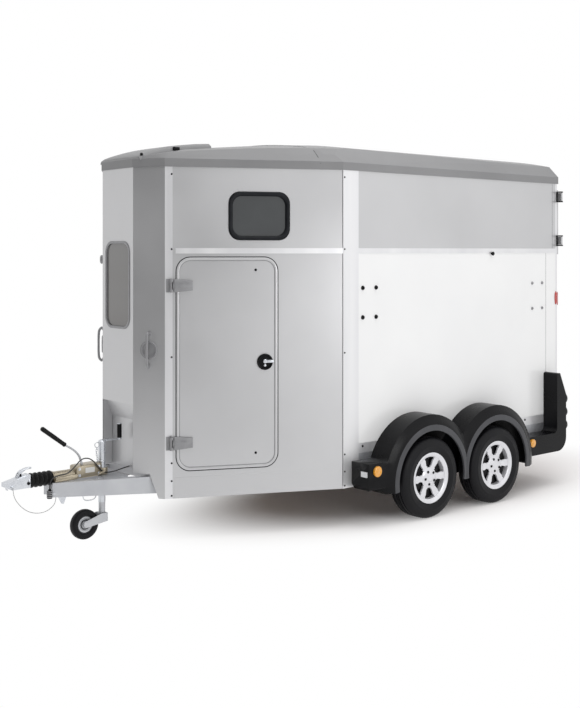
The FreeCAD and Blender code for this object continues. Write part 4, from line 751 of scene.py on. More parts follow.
for name, (hub_x, hub_y) in HUBS.items():
    side = 1 if hub_y > 0 else -1
    hub = (hub_x, hub_y, TYRE_RADIUS)
    turned_parts = {part: turned([(radius, side * out) for radius, out in rings], hub, "Y", steps)
                    for part, (steps, rings) in WHEEL_PARTS.items()}
    wheel = merged(spoke_disc(hub_x, hub_y, side), turned_parts["barrel"], turned_parts["hub"])
    keep(f"cast_wheel_{name}", wheel, "rim_alloy", body=f"wheel_{name}", smooth=28,
         stands_for=f"rim_{name}")
    keep(f"wheel_back_{name}", turned_parts["back"], "black_plastic", body=f"wheel_{name}")
    keep(f"hub_cap_{name}", turned_parts["cap"], "rim_alloy", body=f"wheel_{name}")
    keep(f"cap_groove_{name}", turned_parts["groove"], "lip_plastic", body=f"wheel_{name}")
    turns = [2 * math.pi * (number + 0.35) / NUTS for number in range(NUTS)]
    nuts = [(Vector(hub) + Vector((NUT_CIRCLE * math.sin(turn), side * NUT_OUT,
                                   NUT_CIRCLE * math.cos(turn))), (0, side, 0), UP) for turn in turns]
    nut = turned([(0, 0), (0.01, 0), (0.01, 0.0045), (0.008, 0.0055), (0.007, 0.003), (0, 0.003)], steps=12)
    repeated(f"wheel_nuts_{name}", nut, nuts, "black_plastic", body=f"wheel_{name}")
tally("cast wheels")

# %% [markdown]
# ## The groom's door and the windows
#
# A moulding helper sweeps one section round a rounded rectangle. The door gets a dark seal in
# its gap, a bright frame just inside it and a second thin seal. The side window gets a fat
# rubber frame, the nose window a thin grey one.

# %% Door trim, window seals and lock
DOOR = (-1.161, -0.467, 0.463, 1.885)
wall_seal = moulding(DOOR, 0.094, [(-0.0055, 0), (-0.005, 0.0015), (-0.0005, 0.0015), (0, 0), (0, -0.012),
                                   (-0.0055, -0.012)], WALL_FACE, steps=12)
keep("door_gap_seal", wall_seal, "frame_rubber")
frame_band = moulding(DOOR, 0.094, [(0.001, 0), (0.0015, 0.003), (0.003, 0.004), (0.017, 0.004),
                                    (0.0185, 0.003), (0.019, 0)], WALL_FACE, steps=12)
keep("door_frame_band", frame_band, "silver_panel", body="groom_door")
inner_seal = moulding(DOOR, 0.094, [(0.0192, 0), (0.0197, 0.0028), (0.0225, 0.0028), (0.0235, 0)],
                      WALL_FACE, steps=12)
keep("door_inner_seal", inner_seal, "grey_casting", body="groom_door", slot="frame_rubber")

WINDOW = (-0.809, -0.379, 2.0, 2.331)
side_seal = moulding(WINDOW, 0.096, [(0.004, -0.01), (0.0005, 0.0002), (0.001, 0.005), (0.005, 0.0085),
                                     (0.011, 0.0105), (0.019, 0.0095), (0.026, 0.005), (0.0305, -0.002),
                                     (0.031, -0.0135), (0.014, -0.02)], WALL_FACE, steps=14)
keep("side_window_seal", side_seal, "frame_rubber", stands_for="window_frames")
NOSE_FACE = facing((1.4501, 0, 0), (0, 1, 0), UP)
nose_seal = moulding((-0.157, 0.157, 1.4, 1.994), 0.08,
                     [(0, 0), (-0.002, 0.001), (-0.002, 0.004), (0.003, 0.006), (0.01, 0.0055),
                      (0.0145, 0.003), (0.015, -0.011)], NOSE_FACE, steps=14)
keep("nose_window_seal", nose_seal, "grey_casting")

LOCK = facing(on_wall(0.556, 0.0, 1.175), -ALONG_WALL, UP)
dish = turned([(0.055, 0), (0.0555, 0.006), (0.053, 0.0102), (0.048, 0.011), (0.044, 0.0095),
               (0.04, 0.0035), (0, 0.003), (0, 0)], steps=64)
keep("lock_dish", set_at(dish, LOCK), "black_plastic", body="groom_door", stands_for="groom_door_lock")
lock_bar = prism(rounded(-0.01, 0.058, -0.009, 0.009, 0.0088), 0.009,
                 LOCK @ Matrix.Translation((0, 0.004, 0.0135)), bevel=0.003, segments=3)
lock_hub = set_at(turned([(0, 0.003), (0.014, 0.003), (0.014, 0.016), (0.011, 0.019), (0, 0.0195)],
                         (0, 0.004, 0), "Z", steps=32), LOCK)
keep("lock_handle", merged(lock_bar, lock_hub), "bright_zinc", body="groom_door", slot="aluminium_trim")
key_hole = set_at(turned([(0, 0.003), (0.008, 0.003), (0.008, 0.007), (0.003, 0.008), (0.002, 0.005),
                          (0, 0.005)], (0, -0.024, 0), "Z", steps=24), LOCK)
keep("lock_key", key_hole, "bright_zinc", body="groom_door", slot="aluminium_trim")
tally("door trim, window seals and lock")

# %% [markdown]
# Each strap hinge gets a cover with softly rounded edges and a shallow rib, a round knuckle at
# each end of its pin and a dark line between them. All of it stands just proud of the plain
# straps, so the door still turns about the same pins. The grab handles are bars over dishes.

# %% Strap covers and handles
STRAP_TAPER = 0.013
for low, high in ((0.604, 0.694), (1.653, 1.743)):
    outline = [(-1.179, low + 0.0005), (-1.0535, low + STRAP_TAPER + 0.0005),
               (-1.0535, high - STRAP_TAPER - 0.0005), (-1.179, high - 0.0005)]
    cover = prism(outline, 0.01, on_face(0.0125), bevel=0.0035, segments=3)
    middle = (low + high) / 2
    rib = prism(rounded(-1.168, -1.066, middle - 0.014, middle + 0.014, 0.006), 0.003, on_face(0.0185),
                bevel=0.0012, segments=2)
    keep(f"strap_cover_{low:.2f}", merged(cover, rib), "grey_casting", body="groom_door")
    slot = prism(rounded(-1.1948, -1.1903, middle - 0.026, middle + 0.026, 0.002), 0.0006, on_face(0.0334))
    keep(f"strap_slot_{low:.2f}", slot, "black_plastic")
    knuckles = [set_at(turned([(0, start), (0.0108, start), (0.0114, start + 0.002), (0.0114, stop - 0.002),
                               (0.0108, stop), (0, stop)], steps=24),
                       Matrix.Translation(on_wall(1.197, 0.022, 0)))
                for start, stop in ((low, low + 0.029), (high - 0.029, high))]
    keep(f"strap_knuckles_{low:.2f}", merged(*knuckles), "grey_casting")

CHAMFER = math.atan2(0.196, 0.125)
half_bar = [(0.119, 0.006), (0.112, 0.018), (0.092, 0.03), (0.045, 0.0335)]  # height, reach
half_radii = [0.0075, 0.0085, 0.0085, 0.008]
bar_spots = [(-height, reach) for height, reach in half_bar] + [(0, 0.0335)] + half_bar[::-1]
for side in (1, -1):
    out = Vector((math.sin(CHAMFER), side * math.cos(CHAMFER), 0))
    centre = Vector((1.3876, side * 0.298, 1.268))
    face = facing(centre, UP.cross(out), UP)
    dish = turned([(0.061, 0), (0.061, 0.007), (0.058, 0.0098), (0.054, 0.01), (0.05, 0.0085),
                   (0.046, 0.002), (0, 0.0015), (0, 0)], steps=64)
    path = [centre + UP * height + out * reach for height, reach in bar_spots]
    bar = tube(path, half_radii + [0.0078] + half_radii[::-1], sides=16, bends=4)
    feet = [set_at(turned([(0, 0), (0.012, 0), (0.012, 0.006), (0.009, 0.009), (0, 0.009)], steps=20),
                   facing(centre + UP * height, UP.cross(out), UP)) for height in (-0.1085, 0.1085)]
    name = "left" if side > 0 else "right"
    keep(f"grab_dish_{name}", set_at(dish, face), "grey_casting", slot="black_plastic",
         stands_for="grab_handles" if side > 0 else None)
    keep(f"grab_bar_{name}", merged(bar, *feet), "grey_casting", slot="black_plastic")
tally("strap covers and handles")

# %% [markdown]
# ## Coupling and jockey wheel
#
# The front is the busiest place: a pressed head with a sprung release loop, bellows with five
# round lobes, a yellow-zinc housing with a raised rear half, the handbrake with its rubber
# grip, and the jockey wheel's tube with a clamp, a crank and a pin on a short chain.

# %% Bellows, housing and head
BALL_Z = 0.446
LOBES, LOBE_PITCH = 5, 0.0325
lobes = [(0, 1.9522)]
for number in range(LOBES):
    start = 1.9525 + LOBE_PITCH * number
    lobes += [(0.0375, start), (0.0445, start + 0.003), (0.0478, start + 0.01), (0.0478, start + 0.017),
              (0.0445, start + 0.025), (0.0385, start + 0.0295)]
lobes += [(0.0365, 2.1148), (0, 2.1148)]
keep("bellows_lobes", turned(lobes, (0, 0, BALL_Z), "X", steps=64), "bellows_rubber", smooth=50,
     stands_for="bellows")

front_tube = turned([(0, 1.78), (0.0362, 1.78), (0.0362, 1.938), (0.04, 1.941), (0.0405, 1.95),
                     (0.038, 1.9519), (0, 1.9519)], (0, 0, BALL_Z), "X", steps=56)
rear_block = prism([(1.6012, 0.4205), (1.79, 0.4205), (1.79, 0.4975), (1.778, 0.503), (1.616, 0.5075),
                    (1.6012, 0.501)], 0.0965, SIDEWAYS, bevel=0.007, segments=3)
housing_web = prism([(1.79, 0.4205), (1.9515, 0.4205), (1.9515, 0.433), (1.79, 0.44)], 0.122, SIDEWAYS,
                    bevel=0.003, segments=2)
lower_tube = turned([(0, 1.79), (0.017, 1.79), (0.017, 1.94), (0.014, 1.945), (0, 1.945)],
                    (0, 0.0435, 0.44), "X", steps=28)
keep("housing_casting", merged(front_tube, rear_block, housing_web, lower_tube), "zinc_housing", smooth=40,
     stands_for="overrun_housing")
tag = prism(rounded(1.655, 1.725, 0.452, 0.486, 0.003), 0.0015, facing((0, 0.0489, 0), (1, 0, 0), UP),
            bevel=0.0004, segments=1)
keep("housing_tag", tag, "blank_plate")
housing_bolts = [((x, 0.0482, z), (0, 1, 0), UP)
                 for x, z in ((1.622, 0.44), (1.622, 0.486), (1.768, 0.44), (1.768, 0.483))]
housing_bolts += [((x, 0.0405, 0.4435), (0, 0, 1), (1, 0, 0)) for x in (1.82, 1.88, 1.93)]


def hexagon_head(radius, high):
    """A hexagonal bolt head with a washer under it."""
    washer = turned([(0, 0), (1.35 * radius, 0), (1.35 * radius, 0.2 * high), (0, 0.2 * high)], steps=20)
    head = turned([(0, 0.2 * high), (radius, 0.2 * high), (radius, 0.85 * high), (0.85 * radius, high),
                   (0, high)], steps=6)
    return merged(washer, head)


repeated("housing_bolts", hexagon_head(0.0075, 0.007), housing_bolts, "bright_zinc", smooth=25)

head_side = [(2.1155, 0.409), (2.15, 0.4085), (2.236, 0.4085), (2.262, 0.416), (2.279, 0.428),
             (2.279, 0.446), (2.262, 0.459), (2.215, 0.468), (2.18, 0.484), (2.15, 0.491), (2.1155, 0.4915)]
head = prism(head_side, 0.073, SIDEWAYS, bevel=0.011, segments=4)
collar = turned([(0, 2.1152), (0.04, 2.1152), (0.042, 2.118), (0.042, 2.128), (0.038, 2.131), (0, 2.131)],
                (0, 0, 0.4485), "X", steps=48)
keep("head_shell", merged(head, collar), "bright_zinc", smooth=40)
half_loop = [(2.196, 0.01, 0.47), (2.188, 0.011, 0.497), (2.168, 0.012, 0.516), (2.138, 0.013, 0.526),
             (2.108, 0.011, 0.5285)]
loop_path = half_loop + [(2.098, 0, 0.5285)] + [(x, -y, z) for x, y, z in half_loop[::-1]]
keep("release_loop", tube(loop_path, 0.0042, sides=12, bends=5), "bright_zinc")
button = turned([(0, 0.47), (0.013, 0.47), (0.013, 0.488), (0.011, 0.5), (0.006, 0.504), (0, 0.5045)],
                (2.172, 0, 0), "Z", steps=28)
keep("release_button", button, "black_plastic")
side_bolt = set_at(hexagon_head(0.009, 0.01),
                   facing((2.128, 0.0362, 0.438), (1, 0, 0), UP) @ Matrix.Rotation(math.pi, 4, "X"))
keep("head_bolt", side_bolt, "black_plastic")
tip_path = [(2.262, 0.02, 0.452), (2.274, 0.021, 0.448), (2.2755, 0.02, 0.432), (2.275, 0.02, 0.416),
            (2.262, 0.02, 0.4105)]
keep("tip_bracket", tube(tip_path, 0.0032, sides=10, bends=4), "bright_zinc")

tally("bellows, housing and head")

# %% [markdown]
# The handbrake's lever bends forwards into a rubber grip. The jockey tube stands in a cast
# clamp with a tee handle, and a crank with a black sleeve folds over its cap.

# %% Handbrake, jockey tube and its fittings
lever_path = [(1.734, 0.018, 0.5), (1.742, 0.018, 0.53), (1.76, 0.018, 0.572), (1.8, 0.018, 0.612),
              (1.856, 0.018, 0.6475), (1.88, 0.018, 0.664)]
keep("lever_bar", tube(lever_path, [0.008, 0.0076, 0.007, 0.0066, 0.0062, 0.0062], sides=14, bends=6),
     "drawbar_steel", stands_for="handbrake_lever")
GRIP_START, GRIP_END = Vector((1.858, 0.018, 0.649)), Vector((2.03, 0.018, 0.7785))
grip_way = (GRIP_END - GRIP_START).normalized()
grip_rings = [(0, 0), (0.0125, 0), (0.0152, 0.004), (0.0152, 0.01), (0.0138, 0.014), (0.0142, 0.06),
              (0.015, 0.11), (0.0148, 0.165), (0.0155, 0.195), (0.015, 0.208), (0.0105, 0.2145),
              (0, 0.2155)]
grip_turn = grip_way.to_track_quat("Z", "Y").to_matrix().to_4x4()
grip = set_at(turned(grip_rings, steps=28), Matrix.Translation(GRIP_START) @ grip_turn)
keep("rubber_grip", grip, "bellows_rubber", stands_for="handbrake_grip")

JOCKEY_X = 1.572
CRANK_X = JOCKEY_X - 0.136
PIN_X, PIN_Y = JOCKEY_X + 0.047, 0.016
LINKS, LINK_PITCH = 9, 0.0135
crank_sleeve = turned([(0, 0.65), (0.016, 0.65), (0.016, 0.742), (0.013, 0.7489), (0, 0.7489)],
                      (CRANK_X, 0, 0), "Z", steps=28)
keep("crank_sleeve", crank_sleeve, "black_plastic")
crank_path = [(JOCKEY_X, 0, 0.644), (JOCKEY_X - 0.03, 0, 0.646), (JOCKEY_X - 0.105, 0, 0.642),
              (JOCKEY_X - 0.128, 0, 0.643), (CRANK_X, 0, 0.652)]
tube_cap = turned([(0, 0.628), (0.0265, 0.628), (0.0265, 0.64), (0.02, 0.648), (0.012, 0.652), (0, 0.652)],
                  (JOCKEY_X, 0, 0), "Z", steps=40)
tube_band = turned([(0.0242, 0.5), (0.0265, 0.502), (0.0265, 0.512), (0.0242, 0.514)], (JOCKEY_X, 0, 0),
                   "Z", steps=40)
keep("crank_and_cap", merged(tube(crank_path, 0.0068, sides=12, bends=4), tube_cap, tube_band),
     "bright_zinc")
clamp = turned([(0.0243, 0.421), (0.038, 0.421), (0.0395, 0.424), (0.0395, 0.462), (0.038, 0.465),
                (0.0243, 0.465)], (JOCKEY_X, 0, 0), "Z", steps=40)
clamp_lug = prism(rounded(1.59, 1.632, 0.426, 0.46, 0.008), 0.026, facing((0, 0.034, 0), (1, 0, 0), UP),
                  bevel=0.003)
clamp_tee = tube([(1.612, 0.046, 0.443), (1.613, 0.068, 0.446), (1.613, 0.074, 0.446)], 0.005, sides=12,
                 bends=3)
clamp_bar = tube([(1.59, 0.074, 0.452), (1.613, 0.074, 0.446), (1.638, 0.074, 0.44)], 0.0045, sides=12,
                 bends=3)
keep("jockey_clamp", merged(clamp, clamp_lug, clamp_tee, clamp_bar), "zinc_housing")


def chain_link(long, wide, wire):
    """One closed link: a bar bent into a stadium."""
    shape = bmesh.new()
    loops = []
    for step in range(16):
        angle = 2 * math.pi * step / 16
        straight = (long - wide) / 2 * (1 if math.sin(angle) > 0 else -1)
        middle = Vector((0.5 * wide * math.cos(angle), 0, 0.5 * wide * math.sin(angle) + straight))
        away = Vector((math.cos(angle), 0, math.sin(angle)))
        loops.append([shape.verts.new(middle + wire * (away * math.cos(turn)
                                                       + Vector((0, 1, 0)) * math.sin(turn)))
                      for turn in [2 * math.pi * side / 8 for side in range(8)]])
    joined(shape, loops + loops[:1])
    return shape


links = []
for number in range(LINKS):
    sway = 0.004 * math.sin(number * 0.9)
    links.append(((PIN_X + sway, PIN_Y, 0.598 - LINK_PITCH * number),
                  (0, 1, 0) if number % 2 else (1, 0, 0), UP))
repeated("pin_chain", set_at(chain_link(0.019, 0.011, 0.0017), Matrix.Rotation(math.radians(-90), 4, "X")),
         links, "bright_zinc", smooth=60)
ring_path = [(PIN_X + 0.017 * math.cos(angle), PIN_Y, 0.622 + 0.017 * math.sin(angle))
             for angle in [2 * math.pi * step / 12 for step in range(13)]]
keep("pin_ring", tube(ring_path, 0.0026, sides=10, bends=3), "bright_zinc")
tally("handbrake and jockey fittings")

# %% [markdown]
# ## Roof, nose and skirt details
#
# The roof is copied from its node, and the crown is let down a little where the moulding is
# softer than the plain loft. A long raised hump with rounded shoulders runs down the front
# slope, over the vent, with a dark latch in its side.

# %% Roof, hump and latch


def copied(name):
    """A node's mesh in the shared frame, to be softened and used in the node's place."""
    shape = bmesh.new()
    shape.from_mesh(nodes[name].data)
    bmesh.ops.transform(shape, matrix=nodes[name].matrix_world, verts=shape.verts)
    return shape


CROWN_X, CROWN_DROP = 0.1, 0.034
for name in ("roof_front", "roof_rear"):
    roof = copied(name)
    for vert in roof.verts:
        reach = (vert.co.x - CROWN_X) / 0.65 if vert.co.x > CROWN_X else (CROWN_X - vert.co.x) / 2.2
        high = min(max((vert.co.z - 2.6) / 0.15, 0.0), 1.0)
        vert.co.z -= CROWN_DROP * max(1.0 - reach, 0.0) * high
    if name == "roof_front":
        skin = BVHTree.FromBMesh(roof)
    keep(f"{name}_shell", roof, "roof_shell", smooth=12, stands_for=name)

SEAM_X = 0.357
seam_path = []
for step in range(49):
    angle = math.radians(4 + 172 * step / 48)
    away = Vector((0, math.cos(angle), math.sin(angle)))
    hit = skin.ray_cast(Vector((SEAM_X, 0, 2.47)) + 2.0 * away, -away)[0]
    if hit:
        seam_path.append(hit + 0.0004 * away)
keep("roof_seam", tube(seam_path, 0.0019, sides=8, bends=1), "lip_plastic", slot="roof_shell")

hump_rows = [(0.84, 2.6, 2.655), (0.843, 2.6, 2.68), (0.852, 2.6, 2.687), (0.95, 2.6, 2.679),
             (1.1, 2.58, 2.66), (1.2, 2.56, 2.643), (1.29, 2.545, 2.62), (1.37, 2.535, 2.594),
             (1.415, 2.535, 2.575), (1.432, 2.535, 2.562)]
shoulder = [(1.0, 0), (0.985, 0.45), (0.955, 0.78), (0.9, 0.93), (0.75, 0.975), (0.4, 0.995)]
shoulders = [(-across, rise) for across, rise in shoulder] + [(0, 1.0)] + shoulder[::-1]
hump = bmesh.new()
rows = [[hump.verts.new((x, 0.262 * across, low + (high - low) * rise)) for across, rise in shoulders]
        for x, low, high in hump_rows]
joined(hump, rows, closed=False)
hump.faces.new(rows[0])
hump.faces.new(rows[-1][::-1])
hump.faces.new([row[0] for row in rows[::-1]] + [row[-1] for row in rows])
bmesh.ops.recalc_face_normals(hump, faces=hump.faces)
keep("roof_hump", hump, "roof_shell", smooth=40, stands_for="roof_vent")
latch = prism(rounded(-0.026, 0.026, -0.011, 0.011, 0.004), 0.012,
              facing((1.141, 0.256, 2.629), (-1, 0, 0), UP), bevel=0.002)
latch_knob = turned([(0, 2.566), (0.007, 2.566), (0.0105, 2.572), (0.0105, 2.58), (0.006, 2.586),
                     (0, 2.587)], (1.412, 0.245, 0), "Z", steps=20)
keep("hump_latch", merged(latch, latch_knob), "black_plastic")
tally("roof, seam, hump and latch")

# %% [markdown]
# The foot of the left slanted wall carries a shallow band. Thin dark lines mark the panel
# joints, and a dark line just ahead of each pilaster is a painted shadow line. The recess in
# the nose gets cheeks, so that nothing shows behind it, and the far chamfer a round knob whose
# edge shows past the nose. A low apron, two holdback knobs and a nose pane whose colour drifts
# with height, a painted reflection, complete the walls.

# %% Skirt band, joint lines, painted shadow lines, cheeks and knob
band = prism(rounded(-1.172, -0.006, 0.2825, 0.42, 0.0008, 1), 0.0022, WALL_FACE, bevel=0.0008, segments=1)
keep("skirt_band", band, "silver_panel")
joint_and_shadow_strips = []
for side in (1, -1):
    across = facing((0, side * HALF_WIDTH, 0), (-side, 0, 0), UP)
    # the first two lines are panel joints; the line at x 0.2085, just ahead of the pilaster, is a painted
    # shadow line
    for x, low, high in ((-2.175, 1.95, 2.488), (-2.087, 0.58, 1.909), (0.2085, 0.3, 2.488)):
        joint_and_shadow_strips.append(prism(rounded(-side * x - 0.0014, -side * x + 0.0014, low, high, 0.0005, 1), 0.0006,
                            across))
keep("panel_joints", merged(*joint_and_shadow_strips), "lip_plastic", slot="frame_rubber")
apron = prism(rounded(-0.312, 0.312, 0.394, 0.4395, 0.001, 1), 0.004, facing((1.374, 0, 0), (0, 1, 0), UP))
keep("front_apron", apron, "silver_panel")
knobs = [turned([(0, side * 0.927), (0.0085, side * 0.927), (0.009, side * 0.936), (0.015, side * 0.938),
                 (0.016, side * 0.944), (0.012, side * 0.9475), (0, side * 0.948)], (-1.388, 0, 1.907), "Y",
                steps=32) for side in (1, -1)]
keep("holdback_knobs", merged(*knobs), "black_plastic")
cheeks = [prism([(1.377, 0.442), (1.446, 0.442), (1.446, 0.916), (1.377, 0.88)], 0.003,
                facing((0, side * 0.194, 0), (1, 0, 0), UP)) for side in (1, -1)]
keep("recess_cheeks", merged(*cheeks), "silver_panel")
far_out = Vector((math.sin(CHAMFER), -math.cos(CHAMFER), 0))
knob_rings = [(0, 0), (0.03, 0), (0.031, 0.008), (0.029, 0.014), (0.024, 0.018), (0.016, 0.02), (0, 0.0205)]
knob = set_at(turned(knob_rings, steps=40), facing((1.392, -0.298, 1.868), UP.cross(far_out), UP))
keep("far_knob", knob, "grey_casting")
# a thin pane behind the nose window, whose colour drifts with height: a painted reflection
pane_back = prism(rounded(-0.1405, 0.1405, 1.4165, 1.9775, 0.066, 12), 0.0008,
                  facing((1.4432, 0, 0), (0, 1, 0), UP))
keep("nose_tint", pane_back, "warm_acrylic")
tally("skirt, joints, cheeks and knobs")

# %% [markdown]
# ## Mudguards and lamps
#
# The guard bodies are copied and set back two millimetres at their outer face. A matt lip runs
# round each opening in the room that this leaves. Domes go over the reflectors, each rear post
# gets its red side lamp, and the tail lamps get bezels and lenses.

# %% Guard lips and lamp domes
GUARD_FACE, LIP_FACE, LIP_INNER, LIP_OUTER, LIP_STEPS = 1.1325, 1.1348, 0.3425, 0.385, 72
guards = copied("mudguards")
for vert in guards.verts:
    if abs(vert.co.y) > GUARD_FACE + 0.0005:
        vert.co.y = math.copysign(GUARD_FACE, vert.co.y)
keep("guard_bodies", guards, "black_plastic", smooth=30, stands_for="mudguards")
HUB_GAP = 0.367
for side in (1, -1):
    for (name, hub_x), toward in zip(AXLES, (-1, 1)):
        lip = bmesh.new()
        loops = []
        for step in range(LIP_STEPS + 1):
            angle = math.radians(-8.4 + 196.8 * step / LIP_STEPS)
            cos, sin = math.cos(angle), math.sin(angle)
            outer = LIP_OUTER
            if cos * toward > 0.5:
                outer = min(outer, (HUB_GAP - 0.0005) / abs(cos))
            section = [(LIP_INNER, 1.12), (LIP_INNER, 1.1335), (LIP_INNER + 0.0015, LIP_FACE),
                       (outer - 0.004, LIP_FACE), (outer, GUARD_FACE), (outer, 1.12)]
            loops.append([lip.verts.new((hub_x + radius * cos, side * y, TYRE_RADIUS + radius * sin))
                          for radius, y in section])
        joined(lip, loops)
        lip.faces.new(loops[0])
        lip.faces.new(loops[-1][::-1])
        bmesh.ops.recalc_face_normals(lip, faces=lip.faces)
        label = f"{name}_{'left' if side > 0 else 'right'}"
        keep(f"guard_lip_{label}", lip, "lip_plastic", smooth=40)
domes, post_domes, bezels, lenses = [], [], [], []
for side in (1, -1):
    for x, y, z in ((0.0565, 1.1152, 0.4125), (-1.726, 1.0722, 0.3925)):
        domes.append(set_at(turned([(0, 0), (0.0315, 0), (0.0315, 0.003), (0.028, 0.005), (0.026, 0.0035),
                                    (0.024, 0.0035), (0.02, 0.0065), (0, 0.0078)], steps=48),
                            facing((x, side * y, z), (-side, 0, 0), UP)))
    shell = turned([(0, 0), (0.017, 0), (0.0168, 0.004), (0.014, 0.0075), (0.008, 0.01), (0, 0.0108)],
                   steps=40)
    bmesh.ops.scale(shell, vec=(1, 3.25, 1), verts=shell.verts)
    post_domes.append(set_at(shell, facing((-2.222, side * 0.9252, 1.5345), (-side, 0, 0), UP)))
    for z in (0.706, 0.598, 0.49):
        spot = (0, side * 1.0055, z)
        bezels.append(turned([(0, -2.1785), (0.05, -2.1785), (0.05, -2.205), (0.047, -2.211),
                              (0.043, -2.212), (0.043, -2.208), (0, -2.208)], spot, "X", steps=48))
        lenses.append(turned([(0, -2.2081), (0.0425, -2.2081), (0.04, -2.219), (0.032, -2.228),
                              (0.02, -2.233), (0, -2.235)], spot, "X", steps=48))
keep("tail_bezels", merged(*bezels), "black_plastic")
keep("tail_lenses", merged(*lenses), "red_lens")
keep("side_reflector_domes", merged(*domes), "amber_lens")
keep("post_side_lamps", merged(*post_domes), "red_lens")
tally("guard lips and lamp domes")

# %% [markdown]
# ## Below the drawbar
#
# Small brackets hang under the bar: a triangular gusset and a bent wire loop for the cables.
# The parked plug gets four rings, and the jockey wheel its round tyre and a pressed disc.

# %% Brackets, plug rings and jockey wheel
gusset = prism([(1.855, 0.34), (1.935, 0.34), (1.902, 0.276), (1.884, 0.272)], 0.005,
               facing((0, 0.047, 0), (1, 0, 0), UP), bevel=0.001, segments=1)
loop = tube([(1.742, 0.045, 0.325), (1.738, 0.045, 0.284), (1.715, 0.045, 0.268), (1.668, 0.045, 0.268),
             (1.645, 0.045, 0.284), (1.641, 0.045, 0.325)], 0.0035, sides=12, bends=5)
keep("bar_brackets", merged(gusset, loop), "bright_zinc")
rings = [turned([(0.0168, low), (0.0195, low + 0.001), (0.0195, low + 0.006), (0.0168, low + 0.007)],
                (1.992, 0.06, 0), "Z", steps=32) for low in (0.331, 0.343, 0.355, 0.367)]
keep("plug_rings", merged(*rings), "grey_casting", slot="black_plastic")

JOCKEY_HUB = (1.707, 0, 0.1)
half_jockey = [(0.06, 0.0215), (0.064, 0.025), (0.076, 0.0268), (0.088, 0.0262), (0.095, 0.0225),
               (0.099, 0.014), (0.0999, 0)]
keep("jockey_tread", turned(both_halves(half_jockey), JOCKEY_HUB, "Y", steps=72), "tyre_rubber",
     body="jockey_wheel", stands_for="jockey_tyre")
half_disc = [(0.0062, 0.028), (0.016, 0.028), (0.018, 0.024), (0.024, 0.014), (0.038, 0.012),
             (0.044, 0.016), (0.052, 0.016), (0.058, 0.01), (0.066, 0.021), (0.0702, 0.023)]
keep("jockey_disc", turned(both_halves(half_disc), JOCKEY_HUB, "Y", steps=72), "drawbar_steel",
     body="jockey_wheel", slot="rim_alloy", smooth=25, stands_for="jockey_rim")
grooves = [turned([(inner, side * high), (outer, side * high), (outer, side * low), (inner, side * low)],
                  JOCKEY_HUB, "Y", steps=48)
           for inner, outer, low, high in ((0.0262, 0.0352, 0.0128, 0.015), (0.0535, 0.059, 0.011, 0.0172))
           for side in (1, -1)]
keep("jockey_grooves", merged(*grooves), "lip_plastic", body="jockey_wheel")
tally("brackets, plug rings and jockey wheel")

# %% [markdown]
# ## Floor and light
#
# The floor is pale and runs to white away from the trailer, as on a studio sweep. It stays a
# real surface near the wheels, so it keeps their shadow.

# %% Floor
FLOOR_HALF = 40
FADE_FROM, WHITE_FROM = 0.48, 0.98
floor_mesh = bpy.data.meshes.new("studio_floor")
corners = [(x * FLOOR_HALF, y * FLOOR_HALF, 0) for x, y in ((-1, -1), (1, -1), (1, 1), (-1, 1))]
floor_mesh.from_pydata(corners, [], [(0, 1, 2, 3)])
studio_floor = bpy.data.objects.new("studio_floor", floor_mesh)
bpy.context.scene.collection.objects.link(studio_floor)
floor_finish, tree, shader = blank_finish("pale_floor", Roughness=0.9, Specular_IOR_Level=0.0)
shader.inputs["Base Color"].default_value = (0.98, 0.945, 0.935, 1)
spot = node(tree, "ShaderNodeTexCoord").outputs["Object"]
reach = node(tree, "ShaderNodeMapping", {"Vector": spot, "Location": (0.43, -0.15, 0),
                                         "Scale": (0.36, 0.72, 1.0)})
reach = node(tree, "ShaderNodeVectorMath", {0: reach.outputs["Vector"]},
             operation="LENGTH").outputs["Value"]
fade = node(tree, "ShaderNodeMapRange", {"Value": reach, "From Min": FADE_FROM, "From Max": WHITE_FROM},
            interpolation_type="SMOOTHSTEP")
white = node(tree, "ShaderNodeEmission", {"Color": (1, 1, 1, 1), "Strength": 1.0})
mixed = node(tree, "ShaderNodeMixShader", {0: fade.outputs["Result"], 1: shader.outputs[0],
                                           2: white.outputs[0]})
tree.links.new(mixed.outputs[0], tree.nodes["Material Output"].inputs["Surface"])
floor_mesh.materials.append(floor_finish)
print("floor", FLOOR_HALF * 2, "m across, white from", WHITE_FROM, "of the fade's reach")

# %% [markdown]
# The world is white to the camera, to reflections and through glass, and a little dimmer as a
# light, so pale panels keep their shape. One broad lamp from above and two from the left side
# give the panels their gradients. Two dark cloths, which the camera doesn't see, show in the
# sheet metal.

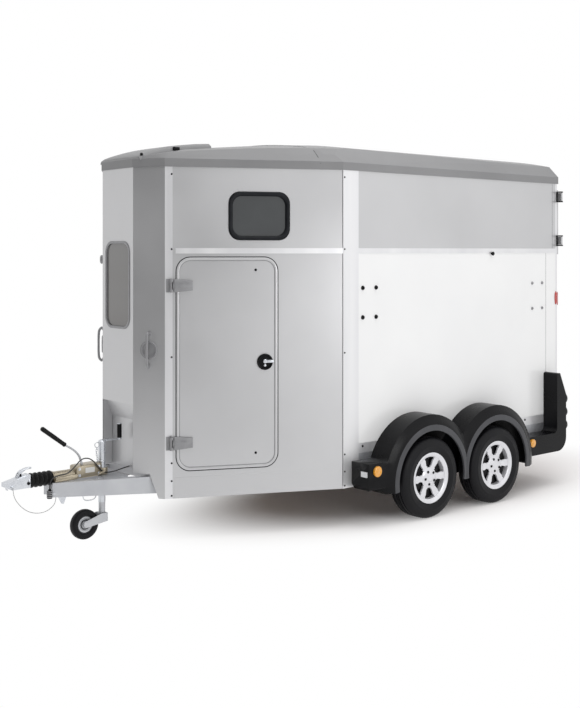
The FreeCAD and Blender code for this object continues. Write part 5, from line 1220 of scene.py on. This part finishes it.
# %% World, lamps and cloths
world = bpy.data.worlds.new("studio")
bpy.context.scene.world = world
world.use_nodes = True
tree = world.node_tree
tree.nodes.clear()
rays = node(tree, "ShaderNodeLightPath").outputs
seen = node(tree, "ShaderNodeMath", {0: rays["Is Camera Ray"], 1: rays["Is Glossy Ray"]},
            operation="MAXIMUM")
seen = node(tree, "ShaderNodeMath", {0: seen.outputs[0], 1: rays["Is Transmission Ray"]},
            operation="MAXIMUM")
lighting = node(tree, "ShaderNodeBackground", {"Color": (1, 1, 1, 1), "Strength": 0.62})
backdrop = node(tree, "ShaderNodeBackground", {"Color": (1, 1, 1, 1), "Strength": 1.0})
mixed = node(tree, "ShaderNodeMixShader", {0: seen.outputs[0], 1: lighting.outputs[0],
                                           2: backdrop.outputs[0]})
node(tree, "ShaderNodeOutputWorld", {"Surface": mixed.outputs[0]})


def lamp(name, spot, aim, size, watts):
    """A broad soft lamp, aimed at a point."""
    light = bpy.data.lights.new(name, "AREA")
    light.shape = "RECTANGLE"
    light.size, light.size_y = size
    light.energy = watts
    made = bpy.data.objects.new(name, light)
    made.location = spot
    made.rotation_euler = (Vector(aim) - Vector(spot)).to_track_quat("-Z", "Y").to_euler()
    bpy.context.scene.collection.objects.link(made)


def card(name, corners, tone):
    """A dark cloth that the camera doesn't see. It shades one side of the sheet metal."""
    mesh = bpy.data.meshes.new(name)
    mesh.from_pydata(corners, [], [(0, 1, 2, 3)])
    made = bpy.data.objects.new(name, mesh)
    bpy.context.scene.collection.objects.link(made)
    mesh.materials.append(blank_finish(name, Base_Color=(tone, tone, tone, 1), Roughness=1.0)[0])
    made.visible_camera = False


card("front_card", [(6.6, -0.8, 0), (6.6, 3.0, 0), (6.6, 3.0, 4.4), (6.6, -0.8, 4.4)], 0.01)
card("side_card", [(2.9, 8.3, 0), (5.2, 8.3, 0), (5.2, 8.3, 4.2), (2.9, 8.3, 4.2)], 0.12)
lamp("overhead", (-0.5, 1.5, 7.0), (-0.3, 0.3, 0), (6.0, 5.0), 190)
lamp("side_wash", (-3.5, 7.0, 3.2), (-1.2, 0.9, 1.2), (4.0, 3.0), 12)
lamp("side_near", (-0.1, 4.2, 1.5), (-0.1, 0.9, 1.2), (1.2, 1.2), 16)
bpy.context.scene.view_settings.view_transform = "Standard"
print(len(bpy.data.lights), "lamps, view", bpy.context.scene.view_settings.view_transform)
